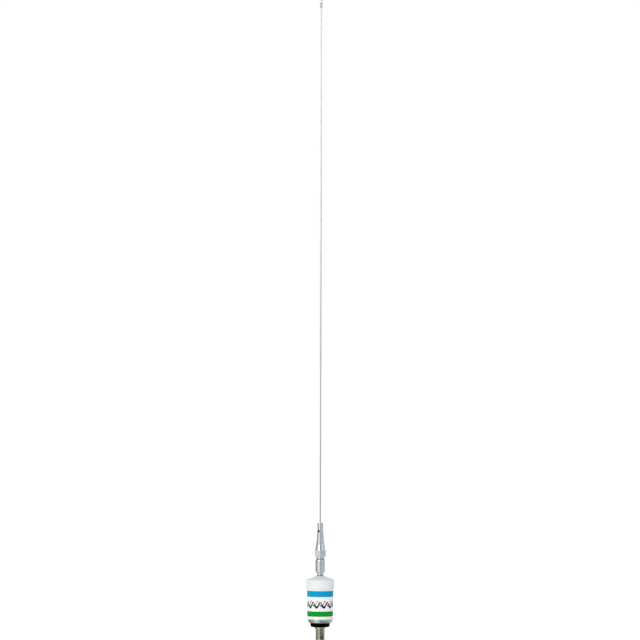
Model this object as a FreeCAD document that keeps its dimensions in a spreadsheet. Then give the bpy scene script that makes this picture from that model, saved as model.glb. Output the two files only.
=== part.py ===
"""Marine VHF whip antenna, as a parametric FreeCAD document.

A stainless whip stands in a chromed ferrule that screws on a stud above a round coil housing. The
housing closes below with a metal base, a rubber pad and a threaded coaxial connector.
Units are millimetres. +Z points up the whip. The origin is on the axis, on the seat: the lower
face of the clamp ring, where the connector's thread comes out.
"""
import FreeCAD, Part
import math
import os
import re
import Sketcher

Vector = FreeCAD.Vector

SIZES = {
    # threaded connector, 5/8 inch with 24 threads to the inch
    "thread_radius": 7.9375,
    "thread_length": 18.5,
    "thread_chamfer": 0.6,
    "relief_radius": 7.2,
    "relief_width": 1.2,
    "mouth_radius": 6.15,
    "mouth_depth": 8.0,
    "web_thickness": 1.5,
    "web_bore": 4.45,
    "rear_bore": 5.6,
    "flange_radius": 14.5,
    "flange_thickness": 2.5,
    "notch_width": 1.5,
    "notch_depth": 1.2,
    "boss_radius": 4.4,
    "boss_recess": 1.8,
    "boss_break": 0.4,
    "insulator_radius": 5.55,
    "contact_radius": 2.6,
    "contact_recess": 1.4,
    "contact_fit": 0.05,
    "contact_break": 0.3,
    "socket_radius": 2.0,
    "socket_depth": 10.0,
    "slot_width": 0.5,
    "slot_depth": 7.0,
    "collar_radius": 3.6,
    "collar_height": 1.4,
    "tail_radius": 1.6,
    "tail_height": 6.0,
    "cup_radius": 0.75,
    "cup_depth": 4.0,
    # clamp ring, rubber pad and metal base
    "ring_radius": 9.0,
    "ring_bore": 8.05,
    "ring_height": 3.0,
    "ring_chamfer": 0.25,
    "pad_bore": 8.1,
    "pad_radius": 16.5,
    "pad_foot": 13.4,
    "pad_height": 7.2,
    "pad_round": 2.2,
    "pad_rim": 1.2,
    "plug_bottom": 10.2,
    "plug_rim_low": 20.3,
    "plug_rim_round": 2.2,
    "plug_rim_high": 20.9,
    "plug_rim_height": 6.0,
    "rim_band": 0.8,
    "plug_break": 0.5,
    "recess_radius": 14.6,
    "spigot_radius": 19.2,
    "plug_height": 15.8,
    "floor_height": 9.8,
    "well_radius": 15.0,
    "plug_bore": 6.5,
    "groove_radius": 17.4,
    "groove_width": 2.4,
    "groove_bottom": 7.8,
    "seal_wire": 0.92,
    # machine screws of 3 mm, and the small ones of the coil form
    "screw_circle": 11.3,
    "screw_radius": 1.5,
    "screw_clearance": 1.6,
    "tapped_radius": 1.55,
    "tap_spare": 0.3,
    "screw_length": 8.0,
    "countersink_radius": 2.75,
    "countersink_depth": 1.25,
    "socket_across": 1.0,
    "form_screw_circle": 16.9,
    "form_screw_radius": 1.2,
    "form_tapped_radius": 1.25,
    "form_clearance": 1.3,
    "form_screw_length": 6.5,
    "form_head_radius": 2.1,
    "form_head_height": 1.4,
    "ground_circle": 11.0,
    "ground_screw_length": 4.5,
    "ground_head_radius": 2.8,
    "ground_head_height": 1.8,
    # coil, its form and its leads
    "form_bottom": 26.0,
    "form_flange_radius": 18.8,
    "form_flange_height": 2.0,
    "form_radius": 9.4,
    "form_bore": 6.5,
    "form_height": 36.0,
    "coil_bottom": 33.0,
    "coil_radius": 10.3,
    "coil_pitch": 4.0,
    "coil_turns": 6.0,
    "coil_start": 60.0,
    "wire_radius": 0.8,
    "tail_hole": 1.2,
    "tail_hole_circle": 10.65,
    "lead_radius": 0.6,
    "lead_bottom": 16.1,
    "lead_bend": 3.0,
    "lead_hole": 0.9,
    "lug_thickness": 0.8,
    "lug_radius": 3.0,
    "lug_tab": 1.5,
    # housing
    "sleeve_bottom": 16.2,
    "sleeve_height": 61.8,
    "sleeve_bore": 19.3,
    "sleeve_low": 21.07,
    "sleeve_high": 22.0,
    "sleeve_break": 0.4,
    "label_bottom": 17.0,
    "label_height": 48.8,
    "label_film": 0.15,
    "cap_bottom": 66.2,
    "cap_radius": 23.35,
    "cap_bore": 22.1,
    "cap_lip": 23.7,
    "lip_height": 1.6,
    "lip_slope": 0.4,
    "shoulder_height": 16.0,
    "shoulder_round": 6.0,
    "crown_height": 21.3,
    "crown_flat": 7.7,
    "dome_radius": 49.0,
    "ledge_radius": 19.5,
    "ceiling_height": 18.3,
    "ceiling_radius": 13.0,
    "inner_height": 15.0,
    # stud, its nut stack, coupling and lock washer
    "stud_radius": 4.7625,
    "stud_bottom": 74.0,
    "stud_top": 130.6,
    "stud_chamfer": 0.7,
    "stud_clearance": 4.9,
    "washer_radius": 10.0,
    "washer_height": 1.6,
    "terminal_radius": 7.5,
    "star_radius": 7.6,
    "star_root": 6.2,
    "star_height": 0.8,
    "star_teeth": 12.0,
    "star_tooth": 1.3,
    "tooth_bed": 0.3,
    "nut_across": 14.3,
    "nut_height": 5.5,
    "nut_chamfer": 1.4,
    "seal_radius": 5.6,
    "seal_height": 0.8,
    "coupling_bottom": 88.3,
    "neck_radius": 5.75,
    "neck_height": 4.4,
    "neck_break": 0.3,
    "coupling_radius": 8.2,
    "coupling_height": 26.4,
    "coupling_foot": 6.9,
    "coupling_round": 1.5,
    "coupling_shoulder": 7.3,
    "shoulder_drop": 1.6,
    "lock_radius": 7.2,
    "lock_bore": 4.95,
    "lock_height": 2.4,
    "lock_slot": 1.2,
    "lock_break": 0.3,
    "split_shift": 0.84,
    # ferrule
    "ferrule_bottom": 117.1,
    "foot_radius": 6.6,
    "foot_height": 1.9,
    "hex_across": 18.3,
    "hex_height": 11.0,
    "hex_chamfer": 0.9,
    "skirt_radius": 8.6,
    "skirt_lift": 0.1,
    "skirt_waist": 6.0,
    "waist_height": 30.9,
    "flare_height": 44.9,
    "flare_radius": 98.5,
    "barrel_radius": 5.0,
    "ferrule_height": 58.0,
    "barrel_round": 0.5,
    "stud_bore": 4.85,
    "stud_bore_depth": 16.9,
    "drill_point": 2.0,
    "whip_bore": 1.35,
    "whip_floor": 20.9,
    "set_screw_height": 44.3,
    "set_screw_radius": 2.0,
    "set_screw_bore": 2.05,
    "set_screw_length": 3.4,
    "set_screw_point": 0.4,
    "set_screw_break": 0.2,
    "set_screw_gap": 0.05,
    "set_screw_socket": 2.0,
    "socket_reach": 1.6,
    "ferrule_turn": -33.2,
    # whip and its tip bead
    "whip_radius": 1.3,
    "whip_break": 0.2,
    "whip_end": 1.1,
    "whip_straight": 40.0,
    "whip_length": 895.0,
    "bead_bore": 1.12,
    "bead_cover": 8.0,
    "bead_radius": 2.1,
    "bead_length": 13.0,
    "bead_nose": 1.9,
    "bead_round": 1.2,
    "bead_mouth": 1.5,
    # how far an outline that cuts reaches past the metal
    "cutter_over": 0.5,
}

FRONT = "XZ_Plane"
LEVEL = "XY_Plane"
START, END, CENTRE = 1, 2, 3      # a sketch's names for the ends and centre of a curve
ORIGIN = (-1, 1)                  # a sketch's own origin
ACROSS_AXIS, UP_AXIS = -1, -2     # a sketch's own axes
COS_30 = math.cos(math.radians(30))
SCREW_TURN = 45.0                 # degrees from +X to the first of the connector's screws
FORM_SCREW_TURN = 30.0            # and to the first of the coil form's
SPLIT_TURN = -40.0                # and to the lock washer's split
CORNER_SLOPE = 0.6                # rise over run of a hexagon's broken corners
FUSE_TOLERANCE = 1e-4             # how far the winding and its tails may lie from touching
TAP_LEVEL = "(coil_bottom + coil_pitch * (2 - coil_start / 360))"
CEILING = "cap_bottom + ceiling_height"

doc = FreeCAD.newDocument("VhfWhipAntenna")
sheet = doc.addObject("Spreadsheet::Sheet", "Sizes")
for row, (alias, size) in enumerate(SIZES.items(), start=1):
    sheet.set(f"A{row}", alias)
    sheet.set(f"B{row}", str(size))
    sheet.setAlias(f"B{row}", alias)
doc.recompute()


def bound(text):
    """The expression, with each word in it turned into that cell of the sheet."""
    return re.sub(r"[a-z][a-z_]*", lambda word: "Sizes." + word.group(), text)


def value(text):
    """What the expression comes to now."""
    return float(sheet.evalExpression(bound(text)))


# ---------------------------------------------------------------- bodies and sketches

def new_body(label, level="0"):
    """A body whose own zero stands at this level of the antenna's axis."""
    body = doc.addObject("PartDesign::Body", label)
    body.Label = label
    if level != "0":
        body.setExpression("Placement.Base.z", bound(level))
    return body


def sketch_on(body, name, role, level="0", turn=0.0):
    """A sketch on one of the body's origin planes, moved along its normal and turned about it."""
    plane = next(item for item in body.Origin.OriginFeatures if item.Role == role)
    sketch = body.newObject("Sketcher::SketchObject", name)
    sketch.AttachmentSupport = [(plane, "")]
    sketch.MapMode = "FlatFace"
    if turn:
        sketch.AttachmentOffset = FreeCAD.Placement(Vector(), FreeCAD.Rotation(Vector(0, 0, 1), turn))
    if level != "0":
        sketch.setExpression("AttachmentOffset.Base.z", bound(level))
    return sketch


def bind(sketch, constraint, text):
    """Add a size to the sketch and bind it to the sheet."""
    index = sketch.addConstraint(constraint)
    sketch.setExpression(f"Constraints[{index}]", bound(text))


def place_point(sketch, curve, end, across, up):
    """Hold one end of a curve at its two distances from the sketch's origin."""
    for kind, axis, text in (("DistanceX", UP_AXIS, across), ("DistanceY", ACROSS_AXIS, up)):
        if text == "0":
            sketch.addConstraint(Sketcher.Constraint("PointOnObject", curve, end, axis))
        else:
            bind(sketch, Sketcher.Constraint(kind, *ORIGIN, curve, end, value(text)), text)


def arc_between(first, last, radius):
    """The arc from first to last; a radius below zero puts its centre to the right of the way."""
    middle = (first + last) * 0.5
    half = (last - first) * 0.5
    left = Vector(-half.y, half.x, 0).normalize()
    rise = math.sqrt(radius * radius - half.Length ** 2)
    centre = middle + left * math.copysign(rise, radius)
    angles = [math.atan2(point.y - centre.y, point.x - centre.x) for point in (first, last)]
    if radius < 0:
        angles.reverse()
    circle = Part.Circle(centre, Vector(0, 0, 1), abs(radius))
    return Part.ArcOfCircle(circle, *angles)


def outline(sketch, corners):
    """Draw a closed outline.

    Each corner is its distances across and up, as expressions. A third entry makes the line that
    leaves it an arc of that radius, and a minus before it puts the centre to the right of the way.
    """
    points = [Vector(value(corner[0]), value(corner[1]), 0) for corner in corners]
    ends = []
    for number, corner in enumerate(corners):
        first = points[number]
        last = points[(number + 1) % len(points)]
        if len(corner) == 3:
            radius = value(corner[2])
            curve = sketch.addGeometry(arc_between(first, last, radius), False)
            ends.append((curve, START, END) if radius > 0 else (curve, END, START))
            size = corner[2].lstrip("-")
            bind(sketch, Sketcher.Constraint("Radius", curve, abs(radius)), size)
        else:
            curve = sketch.addGeometry(Part.LineSegment(first, last), False)
            ends.append((curve, START, END))
    for number, (curve, start, _) in enumerate(ends):
        before, _, last_end = ends[number - 1]
        sketch.addConstraint(Sketcher.Constraint("Coincident", before, last_end, curve, start))
        place_point(sketch, curve, start, *corners[number][:2])


def circle(sketch, radius, across="0", up="0"):
    """Draw a circle with its centre at these distances."""
    centre = Vector(value(across), value(up), 0)
    curve = sketch.addGeometry(Part.Circle(centre, Vector(0, 0, 1), value(radius)), False)
    place_point(sketch, curve, CENTRE, across, up)
    bind(sketch, Sketcher.Constraint("Radius", curve, value(radius)), radius)


def hexagon(sketch, across, turn=0.0):
    """Draw a hexagon about the origin, this wide across its flats, with a corner at turn degrees."""
    corner_radius = f"({across}) / 2 / {COS_30:.7f}"
    radius = value(corner_radius)
    angles = [math.radians(turn + 60 * number) for number in range(6)]
    points = [Vector(radius * math.cos(angle), radius * math.sin(angle), 0) for angle in angles]
    guide = sketch.addGeometry(Part.Circle(Vector(), Vector(0, 0, 1), radius), True)
    sketch.addConstraint(Sketcher.Constraint("Coincident", guide, CENTRE, *ORIGIN))
    bind(sketch, Sketcher.Constraint("Radius", guide, radius), corner_radius)
    sides = [sketch.addGeometry(Part.LineSegment(points[number - 1], points[number]), False)
             for number in range(6)]
    for number, side in enumerate(sides):
        sketch.addConstraint(Sketcher.Constraint("Coincident", sides[number - 1], END, side, START))
        sketch.addConstraint(Sketcher.Constraint("PointOnObject", side, START, guide))
        if number:
            sketch.addConstraint(Sketcher.Constraint("Equal", sides[0], side))
    angle = math.atan2(points[0].y - points[-1].y, points[0].x - points[-1].x)
    sketch.addConstraint(Sketcher.Constraint("Angle", sides[0], angle))


# ---------------------------------------------------------------- features

def revolve(body, name, corners):
    """Turn an outline, drawn on the front plane, once round the body's axis."""
    sketch = sketch_on(body, name + "_outline", FRONT)
    outline(sketch, corners)
    feature = body.newObject("PartDesign::Revolution", name)
    feature.Profile = sketch
    feature.ReferenceAxis = (sketch, ["V_Axis"])
    feature.Angle = 360
    doc.recompute()
    return feature


def must_remove(body, name, before):
    """Stop if a cut has taken nothing away."""
    if body.Shape.Volume > before - 1e-3:
        raise RuntimeError(f"{body.Label}: {name} cuts nothing")


def groove(body, name, corners):
    """Cut away an outline turned once round the body's axis."""
    before = body.Shape.Volume
    sketch = sketch_on(body, name + "_outline", FRONT)
    outline(sketch, corners)
    feature = body.newObject("PartDesign::Groove", name)
    feature.Profile = sketch
    feature.ReferenceAxis = (sketch, ["V_Axis"])
    feature.Angle = 360
    doc.recompute()
    must_remove(body, name, before)
    return feature


def pad(body, name, sketch, length, taper=0.0):
    """Raise a sketch by a length."""
    feature = body.newObject("PartDesign::Pad", name)
    feature.Profile = sketch
    feature.setExpression("Length", bound(length))
    feature.TaperAngle = taper
    doc.recompute()
    return feature


def pocket(body, name, sketch, length, forward=False, both_ways=False):
    """Cut a sketch's shape away, against the plane's normal unless forward is set."""
    before = body.Shape.Volume
    feature = body.newObject("PartDesign::Pocket", name)
    feature.Profile = sketch
    feature.setExpression("Length", bound(length))
    feature.Reversed = forward
    feature.Midplane = both_ways
    doc.recompute()
    must_remove(body, name, before)
    return feature


def repeat(body, name, features, count):
    """Repeat features evenly round the body's axis."""
    axis = next(item for item in body.Origin.OriginFeatures if item.Role == "Z_Axis")
    pattern = body.newObject("PartDesign::PolarPattern", name)
    pattern.Originals = features
    pattern.Axis = (axis, [""])
    pattern.Angle = 360
    pattern.Occurrences = count
    body.Tip = pattern
    doc.recompute()
    return pattern


def fillet_rim(body, name, base, radius, level, size):
    """Round the circular edge that has this radius and stands at this level."""
    for number, edge in enumerate(base.Shape.Edges, start=1):
        curve = edge.Curve
        if not isinstance(curve, Part.Circle):
            continue
        if abs(curve.Radius - value(radius)) < 1e-3 and abs(curve.Center.z - value(level)) < 1e-3:
            break
    else:
        raise RuntimeError(f"{body.Label}: {name} finds no edge")
    feature = body.newObject("PartDesign::Fillet", name)
    feature.Base = (base, [f"Edge{number}"])
    feature.setExpression("Radius", bound(size))
    doc.recompute()
    return feature


def ring(label, level, bore, radius, height, chamfer=None):
    """A flat ring, with its outer edges broken where a chamfer is given."""
    body = new_body(label, level)
    if chamfer is None:
        corners = [(bore, "0"), (radius, "0"), (radius, height), (bore, height)]
    else:
        inset = f"{radius} - {chamfer}"
        corners = [(bore, "0"), (inset, "0"), (radius, chamfer),
                   (radius, f"{height} - {chamfer}"), (inset, height), (bore, height)]
    revolve(body, "turned_ring", corners)
    return body


# ---------------------------------------------------------------- connector

def make_connector_shell():
    """Threaded shell, open below, with a flange that four screws hold."""
    body = new_body("connector_shell", "-thread_length")
    top = "thread_length + plug_bottom"
    revolve(body, "turned_shell", [
        ("mouth_radius", "0"),
        ("thread_radius - thread_chamfer", "0"),
        ("thread_radius", "thread_chamfer"),
        ("thread_radius", "thread_length"),
        ("relief_radius", "thread_length"),
        ("relief_radius", "thread_length + relief_width"),
        ("thread_radius", "thread_length + relief_width"),
        ("thread_radius", top),
        ("flange_radius", top),
        ("flange_radius", f"{top} + flange_thickness"),
        ("rear_bore", f"{top} + flange_thickness"),
        ("rear_bore", "mouth_depth + web_thickness"),
        ("web_bore", "mouth_depth + web_thickness"),
        ("web_bore", "mouth_depth"),
        ("mouth_radius", "mouth_depth"),
    ])
    rim = sketch_on(body, "notch_outline", LEVEL)
    outline(rim, [
        ("mouth_radius - cutter_over", "-notch_width / 2"),
        ("thread_radius + cutter_over", "-notch_width / 2"),
        ("thread_radius + cutter_over", "notch_width / 2"),
        ("mouth_radius - cutter_over", "notch_width / 2"),
    ])
    notch = pocket(body, "notch", rim, "notch_depth", forward=True)
    repeat(body, "notches", [notch], 4)
    hole_sketch = sketch_on(body, "screw_hole_outline", LEVEL, top, turn=SCREW_TURN)
    circle(hole_sketch, "screw_clearance", "screw_circle")
    hole = pocket(body, "screw_hole", hole_sketch, "flange_thickness", forward=True)
    sink_sketch = sketch_on(body, "countersink_outline", LEVEL, top, turn=SCREW_TURN)
    circle(sink_sketch, "countersink_radius", "screw_circle")
    sink = body.newObject("PartDesign::Pocket", "countersink")
    sink.Profile = sink_sketch
    sink.setExpression("Length", bound("countersink_depth"))
    sink.TaperAngle = -45.0
    sink.Reversed = True
    before = body.Shape.Volume
    doc.recompute()
    must_remove(body, "countersink", before)
    repeat(body, "screw_holes", [hole, sink], 4)
    return body


def make_connector_insulator():
    """Insulator, put in from behind against the shell's web."""
    body = new_body("connector_insulator", "boss_recess - thread_length")
    shoulder = "mouth_depth + web_thickness - boss_recess"
    top = "thread_length + plug_bottom + flange_thickness - boss_recess"
    revolve(body, "moulded_insulator", [
        ("contact_radius + contact_fit", "0"),
        ("boss_radius - boss_break", "0"),
        ("boss_radius", "boss_break"),
        ("boss_radius", shoulder),
        ("insulator_radius", shoulder),
        ("insulator_radius", top),
        ("contact_radius + contact_fit", top),
    ])
    return body


def make_centre_contact():
    """Slotted socket below, collar on the insulator's top, and a solder cup."""
    body = new_body("centre_contact", "contact_recess - thread_length")
    collar = "thread_length + plug_bottom + flange_thickness - contact_recess"
    tail = f"{collar} + collar_height"
    top = f"{tail} + tail_height"
    revolve(body, "turned_contact", [
        ("socket_radius", "0"),
        ("contact_radius - contact_break", "0"),
        ("contact_radius", "contact_break"),
        ("contact_radius", collar),
        ("collar_radius", collar),
        ("collar_radius", tail),
        ("tail_radius", tail),
        ("tail_radius", top),
        ("cup_radius", top),
        ("cup_radius", f"{top} - cup_depth"),
        ("0", f"{top} - cup_depth"),
        ("0", "socket_depth"),
        ("socket_radius", "socket_depth"),
    ])
    slot = sketch_on(body, "slot_outline", LEVEL)
    outline(slot, [
        ("socket_radius - cutter_over", "-slot_width / 2"),
        ("contact_radius + cutter_over", "-slot_width / 2"),
        ("contact_radius + cutter_over", "slot_width / 2"),
        ("socket_radius - cutter_over", "slot_width / 2"),
    ])
    cut = pocket(body, "slot", slot, "slot_depth", forward=True)
    repeat(body, "slots", [cut], 4)
    return body


def screws(label, level, count, circle_radius, shank, length, head, head_height, turn, sunk):
    """Equal screws round the axis, heads down where they are countersunk and up where they are not."""
    body = new_body(label, level)
    body.AllowCompound = True
    head_sketch = sketch_on(body, "head_outline", LEVEL, turn=turn)
    shank_sketch = sketch_on(body, "shank_outline", LEVEL, turn=turn)
    socket_sketch = sketch_on(body, "socket_outline", LEVEL, "0" if sunk else head_height, turn=turn)
    circle(head_sketch, head, circle_radius)
    circle(shank_sketch, shank, circle_radius)
    circle(socket_sketch, "socket_across", circle_radius)
    if sunk:
        features = [
            pad(body, "head", head_sketch, head_height, taper=-45.0),
            pad(body, "shank", shank_sketch, length),
            pocket(body, "socket", socket_sketch, "socket_across", forward=True),
        ]
    else:
        features = [pad(body, "head", head_sketch, head_height)]
        shank_pad = pad(body, "shank", shank_sketch, length)
        shank_pad.Reversed = True
        doc.recompute()
        features.append(shank_pad)
        features.append(pocket(body, "socket", socket_sketch, "socket_across"))
    if count > 1:
        repeat(body, "screw_set", features, count)
    return body


# ---------------------------------------------------------------- base

def make_seat_gasket():
    """Rubber pad, tapering down to a rounded foot."""
    body = new_body("seat_gasket", "ring_height")
    revolve(body, "moulded_pad", [
        ("pad_bore", "0"),
        ("pad_foot", "0", "pad_round"),
        (f"pad_foot + pad_round * {COS_30:.7f}", "pad_round / 2"),
        ("pad_radius", "pad_height - pad_rim"),
        ("pad_radius", "pad_height"),
        ("pad_bore", "pad_height"),
    ])
    return body


def make_base_plug():
    """Metal base: tapered rim below the sleeve, spigot inside it, and a recess for the connector."""
    body = new_body("base_plug", "plug_bottom")
    revolve(body, "turned_base", [
        ("recess_radius", "0"),
        ("plug_rim_low - plug_rim_round", "0", "plug_rim_round"),
        ("plug_rim_low", "plug_rim_round"),
        ("plug_rim_high", "plug_rim_height - rim_band"),
        ("plug_rim_high", "plug_rim_height"),
        ("spigot_radius", "plug_rim_height"),
        ("spigot_radius", "groove_bottom"),
        ("groove_radius", "groove_bottom"),
        ("groove_radius", "groove_bottom + groove_width"),
        ("spigot_radius", "groove_bottom + groove_width"),
        ("spigot_radius", "plug_height - plug_break"),
        ("spigot_radius - plug_break", "plug_height"),
        ("well_radius", "plug_height"),
        ("well_radius", "floor_height"),
        ("plug_bore", "floor_height"),
        ("plug_bore", "flange_thickness"),
        ("recess_radius", "flange_thickness"),
    ])
    tapped = sketch_on(body, "tapped_hole_outline", LEVEL, "flange_thickness", turn=SCREW_TURN)
    circle(tapped, "tapped_radius", "screw_circle")
    hole = pocket(body, "tapped_hole", tapped, "screw_length - flange_thickness + tap_spare", forward=True)
    repeat(body, "tapped_holes", [hole], 4)
    rim = sketch_on(body, "form_hole_outline", LEVEL, "plug_height", turn=FORM_SCREW_TURN)
    circle(rim, "form_tapped_radius", "form_screw_circle")
    form_hole = pocket(body, "form_hole", rim, "form_screw_length - form_flange_height + tap_spare")
    repeat(body, "form_holes", [form_hole], 3)
    ground = sketch_on(body, "ground_hole_outline", LEVEL, "floor_height")
    circle(ground, "tapped_radius", "0", "ground_circle")
    pocket(body, "ground_hole", ground, "ground_screw_length - lug_thickness + tap_spare")
    return body


def make_base_o_ring():
    """Seal ring squeezed between the spigot's groove and the sleeve."""
    torus = doc.addObject("Part::Torus", "base_o_ring")
    torus.Label = "base_o_ring"
    torus.setExpression("Radius1", bound("(groove_radius + sleeve_bore) / 2"))
    torus.setExpression("Radius2", bound("seal_wire"))
    torus.setExpression("Placement.Base.z", bound("plug_bottom + groove_bottom + groove_width / 2"))
    return torus


# ---------------------------------------------------------------- coil and leads

def polar(radius, degrees):
    """The point at this distance from the axis, at this angle from +X."""
    angle = math.radians(degrees)
    return Vector(radius * math.cos(angle), radius * math.sin(angle), 0)


def make_coil_form():
    """Flanged tube that the coil is wound on, with holes for its tail, its lead and its screws."""
    body = new_body("coil_form", "form_bottom")
    revolve(body, "moulded_form", [
        ("form_bore", "0"),
        ("form_flange_radius", "0"),
        ("form_flange_radius", "form_flange_height"),
        ("form_radius", "form_flange_height"),
        ("form_radius", "form_height"),
        ("form_bore", "form_height"),
    ])
    holes = sketch_on(body, "screw_hole_outline", LEVEL, "form_flange_height", turn=FORM_SCREW_TURN)
    circle(holes, "form_clearance", "form_screw_circle")
    hole = pocket(body, "screw_hole", holes, "form_flange_height")
    repeat(body, "screw_holes", [hole], 3)
    tail = sketch_on(body, "tail_hole_outline", LEVEL, "form_flange_height", turn=value("coil_start"))
    circle(tail, "tail_hole", "tail_hole_circle")
    pocket(body, "tail_hole", tail, "form_flange_height")
    side = next(item for item in body.Origin.OriginFeatures if item.Role == "YZ_Plane")
    lead = body.newObject("Sketcher::SketchObject", "lead_hole_outline")
    lead.AttachmentSupport = [(side, "")]
    lead.MapMode = "FlatFace"
    circle(lead, "lead_hole", "0", f"{TAP_LEVEL} - form_bottom")
    pocket(body, "lead_hole_cut", lead, "form_radius + cutter_over", forward=True)
    return body


def make_loading_coil():
    """Copper coil with straight tails, down to the ground lug and up to the terminal lug."""
    wire = value("wire_radius")
    radius = value("coil_radius")
    pitch = value("coil_pitch")
    bottom = Vector(radius, 0, value("coil_bottom"))
    top = bottom + Vector(0, 0, pitch * value("coil_turns"))
    helix = Part.makeHelix(pitch, top.z - bottom.z, radius)
    helix.translate(Vector(0, 0, bottom.z))
    section = Part.Wire([Part.makeCircle(wire, bottom, Vector(0, 1, 0))])
    winding = Part.Wire(helix.Edges).makePipeShell([section], True, True)
    low_end = Vector(radius, 0, value("plug_bottom + floor_height + lug_thickness"))
    high_end = value("cap_bottom + ceiling_height - washer_height - lug_thickness")
    tails = [
        Part.makeSphere(wire, bottom),
        Part.makeCylinder(wire, bottom.z - low_end.z, low_end),
        Part.makeSphere(wire, top),
        Part.makeCylinder(wire, high_end - top.z, top),
    ]
    coil = doc.addObject("Part::Feature", "loading_coil")
    coil.Label = "loading_coil"
    coil.Shape = winding.multiFuse(tails, FUSE_TOLERANCE)
    coil.Placement = FreeCAD.Placement(Vector(), FreeCAD.Rotation(Vector(0, 0, 1), value("coil_start")))
    return coil


def make_feed_lead():
    """Lead from the solder cup, up inside the coil form and out to the coil's tap."""
    body = new_body("feed_lead", "lead_bottom")
    height = f"{TAP_LEVEL} - lead_bottom"
    reach = "coil_radius - wire_radius"
    route = sketch_on(body, "route", FRONT)
    bend = value("lead_bend")
    top = value(height)
    end = value(reach)
    rise = route.addGeometry(Part.LineSegment(Vector(0, 0, 0), Vector(0, top - bend, 0)), False)
    turn = route.addGeometry(arc_between(Vector(0, top - bend, 0), Vector(bend, top, 0), -bend), False)
    run = route.addGeometry(Part.LineSegment(Vector(bend, top, 0), Vector(end, top, 0)), False)
    route.addConstraint(Sketcher.Constraint("Tangent", rise, END, turn, END))
    route.addConstraint(Sketcher.Constraint("Tangent", turn, START, run, START))
    route.addConstraint(Sketcher.Constraint("Coincident", rise, START, *ORIGIN))
    route.addConstraint(Sketcher.Constraint("PointOnObject", rise, END, UP_AXIS))
    place_point(route, run, END, reach, height)
    bind(route, Sketcher.Constraint("Radius", turn, bend), "lead_bend")
    section = sketch_on(body, "wire_section", LEVEL)
    circle(section, "lead_radius")
    doc.recompute()
    pipe = body.newObject("PartDesign::AdditivePipe", "wire")
    pipe.Profile = section
    pipe.Spine = (route, ["Edge1", "Edge2", "Edge3"])
    doc.recompute()
    return body


def make_lug(label, level, bore, radius, reach):
    """Ring terminal with a tab that points along the body's own +X."""
    body = new_body(label, level)
    disc = sketch_on(body, "ring_outline", LEVEL)
    circle(disc, radius)
    pad(body, "ring", disc, "lug_thickness")
    tab = sketch_on(body, "tab_outline", LEVEL)
    outline(tab, [("0", "-lug_tab"), (reach, "-lug_tab"), (reach, "lug_tab"), ("0", "lug_tab")])
    pad(body, "tab", tab, "lug_thickness")
    hole = sketch_on(body, "hole_outline", LEVEL, "lug_thickness")
    circle(hole, bore)
    pocket(body, "hole", hole, "lug_thickness")
    return body


def make_ground_lug():
    """Lug under the ground screw, turned so that its tab lies under the coil's lower tail."""
    centre = polar(value("ground_circle"), 90.0)
    tail = polar(value("coil_radius"), value("coil_start"))
    way = tail - centre
    body = make_lug("ground_lug", "plug_bottom + floor_height", "screw_clearance", "lug_radius",
                    "ground_circle / 2 + lug_tab")
    body.setExpression("Placement.Base.y", bound("ground_circle"))
    body.Placement.Rotation = FreeCAD.Rotation(Vector(0, 0, 1), math.degrees(math.atan2(way.y, way.x)))
    doc.recompute()
    return body


# ---------------------------------------------------------------- housing

def make_housing_sleeve():
    """Moulded tube round the coil, wider at its top."""
    body = new_body("housing_sleeve", "sleeve_bottom")
    revolve(body, "moulded_sleeve", [
        ("sleeve_bore", "0"),
        ("sleeve_low - sleeve_break", "0"),
        ("sleeve_low", "sleeve_break"),
        ("sleeve_high", "sleeve_height"),
        ("sleeve_bore", "sleeve_height"),
    ])
    return body


def make_label_band():
    """Printed film that follows the sleeve's taper."""
    body = new_body("label_band", "label_bottom")
    slope = "(sleeve_high - sleeve_low) / sleeve_height"
    low = f"sleeve_low + {slope} * (label_bottom - sleeve_bottom)"
    high = f"{low} + {slope} * label_height"
    revolve(body, "film", [
        (low, "0"),
        (f"{low} + label_film", "0"),
        (f"{high} + label_film", "label_height"),
        (high, "label_height"),
    ])
    return body


def make_top_cap():
    """Domed cap that slips over the sleeve, with a flat crown for the coupling's seal."""
    body = new_body("top_cap", "cap_bottom")
    sleeve_top = "sleeve_bottom + sleeve_height - cap_bottom"
    cap = revolve(body, "moulded_cap", [
        ("cap_bore", "0"),
        ("cap_lip", "0"),
        ("cap_lip", "lip_height"),
        ("cap_radius", "lip_height + lip_slope"),
        ("cap_radius", "shoulder_height", "dome_radius"),
        ("crown_flat", "crown_height"),
        ("stud_clearance", "crown_height"),
        ("stud_clearance", "ceiling_height"),
        ("ceiling_radius", "ceiling_height"),
        ("ledge_radius", "inner_height"),
        ("ledge_radius", sleeve_top),
        ("cap_bore", sleeve_top),
    ])
    fillet_rim(body, "shoulder", cap, "cap_radius", "shoulder_height", "shoulder_round")
    return body


# ---------------------------------------------------------------- stud, nut stack and coupling

def make_stud():
    """Threaded stud through the cap and the coupling, up into the ferrule."""
    body = new_body("stud", "stud_bottom")
    top = "stud_top - stud_bottom"
    revolve(body, "turned_stud", [
        ("0", "0"),
        ("stud_radius - stud_chamfer", "0"),
        ("stud_radius", "stud_chamfer"),
        ("stud_radius", f"{top} - stud_chamfer"),
        ("stud_radius - stud_chamfer", top),
        ("0", top),
    ])
    return body


def break_hex_corners(body, name, across, low, high, size):
    """Take the sharp corners off both ends of a hexagon."""
    corner = f"({across}) / 2 / {COS_30:.7f} + cutter_over"
    inner = f"({across}) / 2"
    drop = f"{size} * {CORNER_SLOPE}"
    groove(body, name + "_low", [(inner, low), (corner, low), (corner, f"{low} + {drop}")])
    groove(body, name + "_high", [(inner, high), (corner, f"{high} - {drop}"), (corner, high)])


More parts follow.
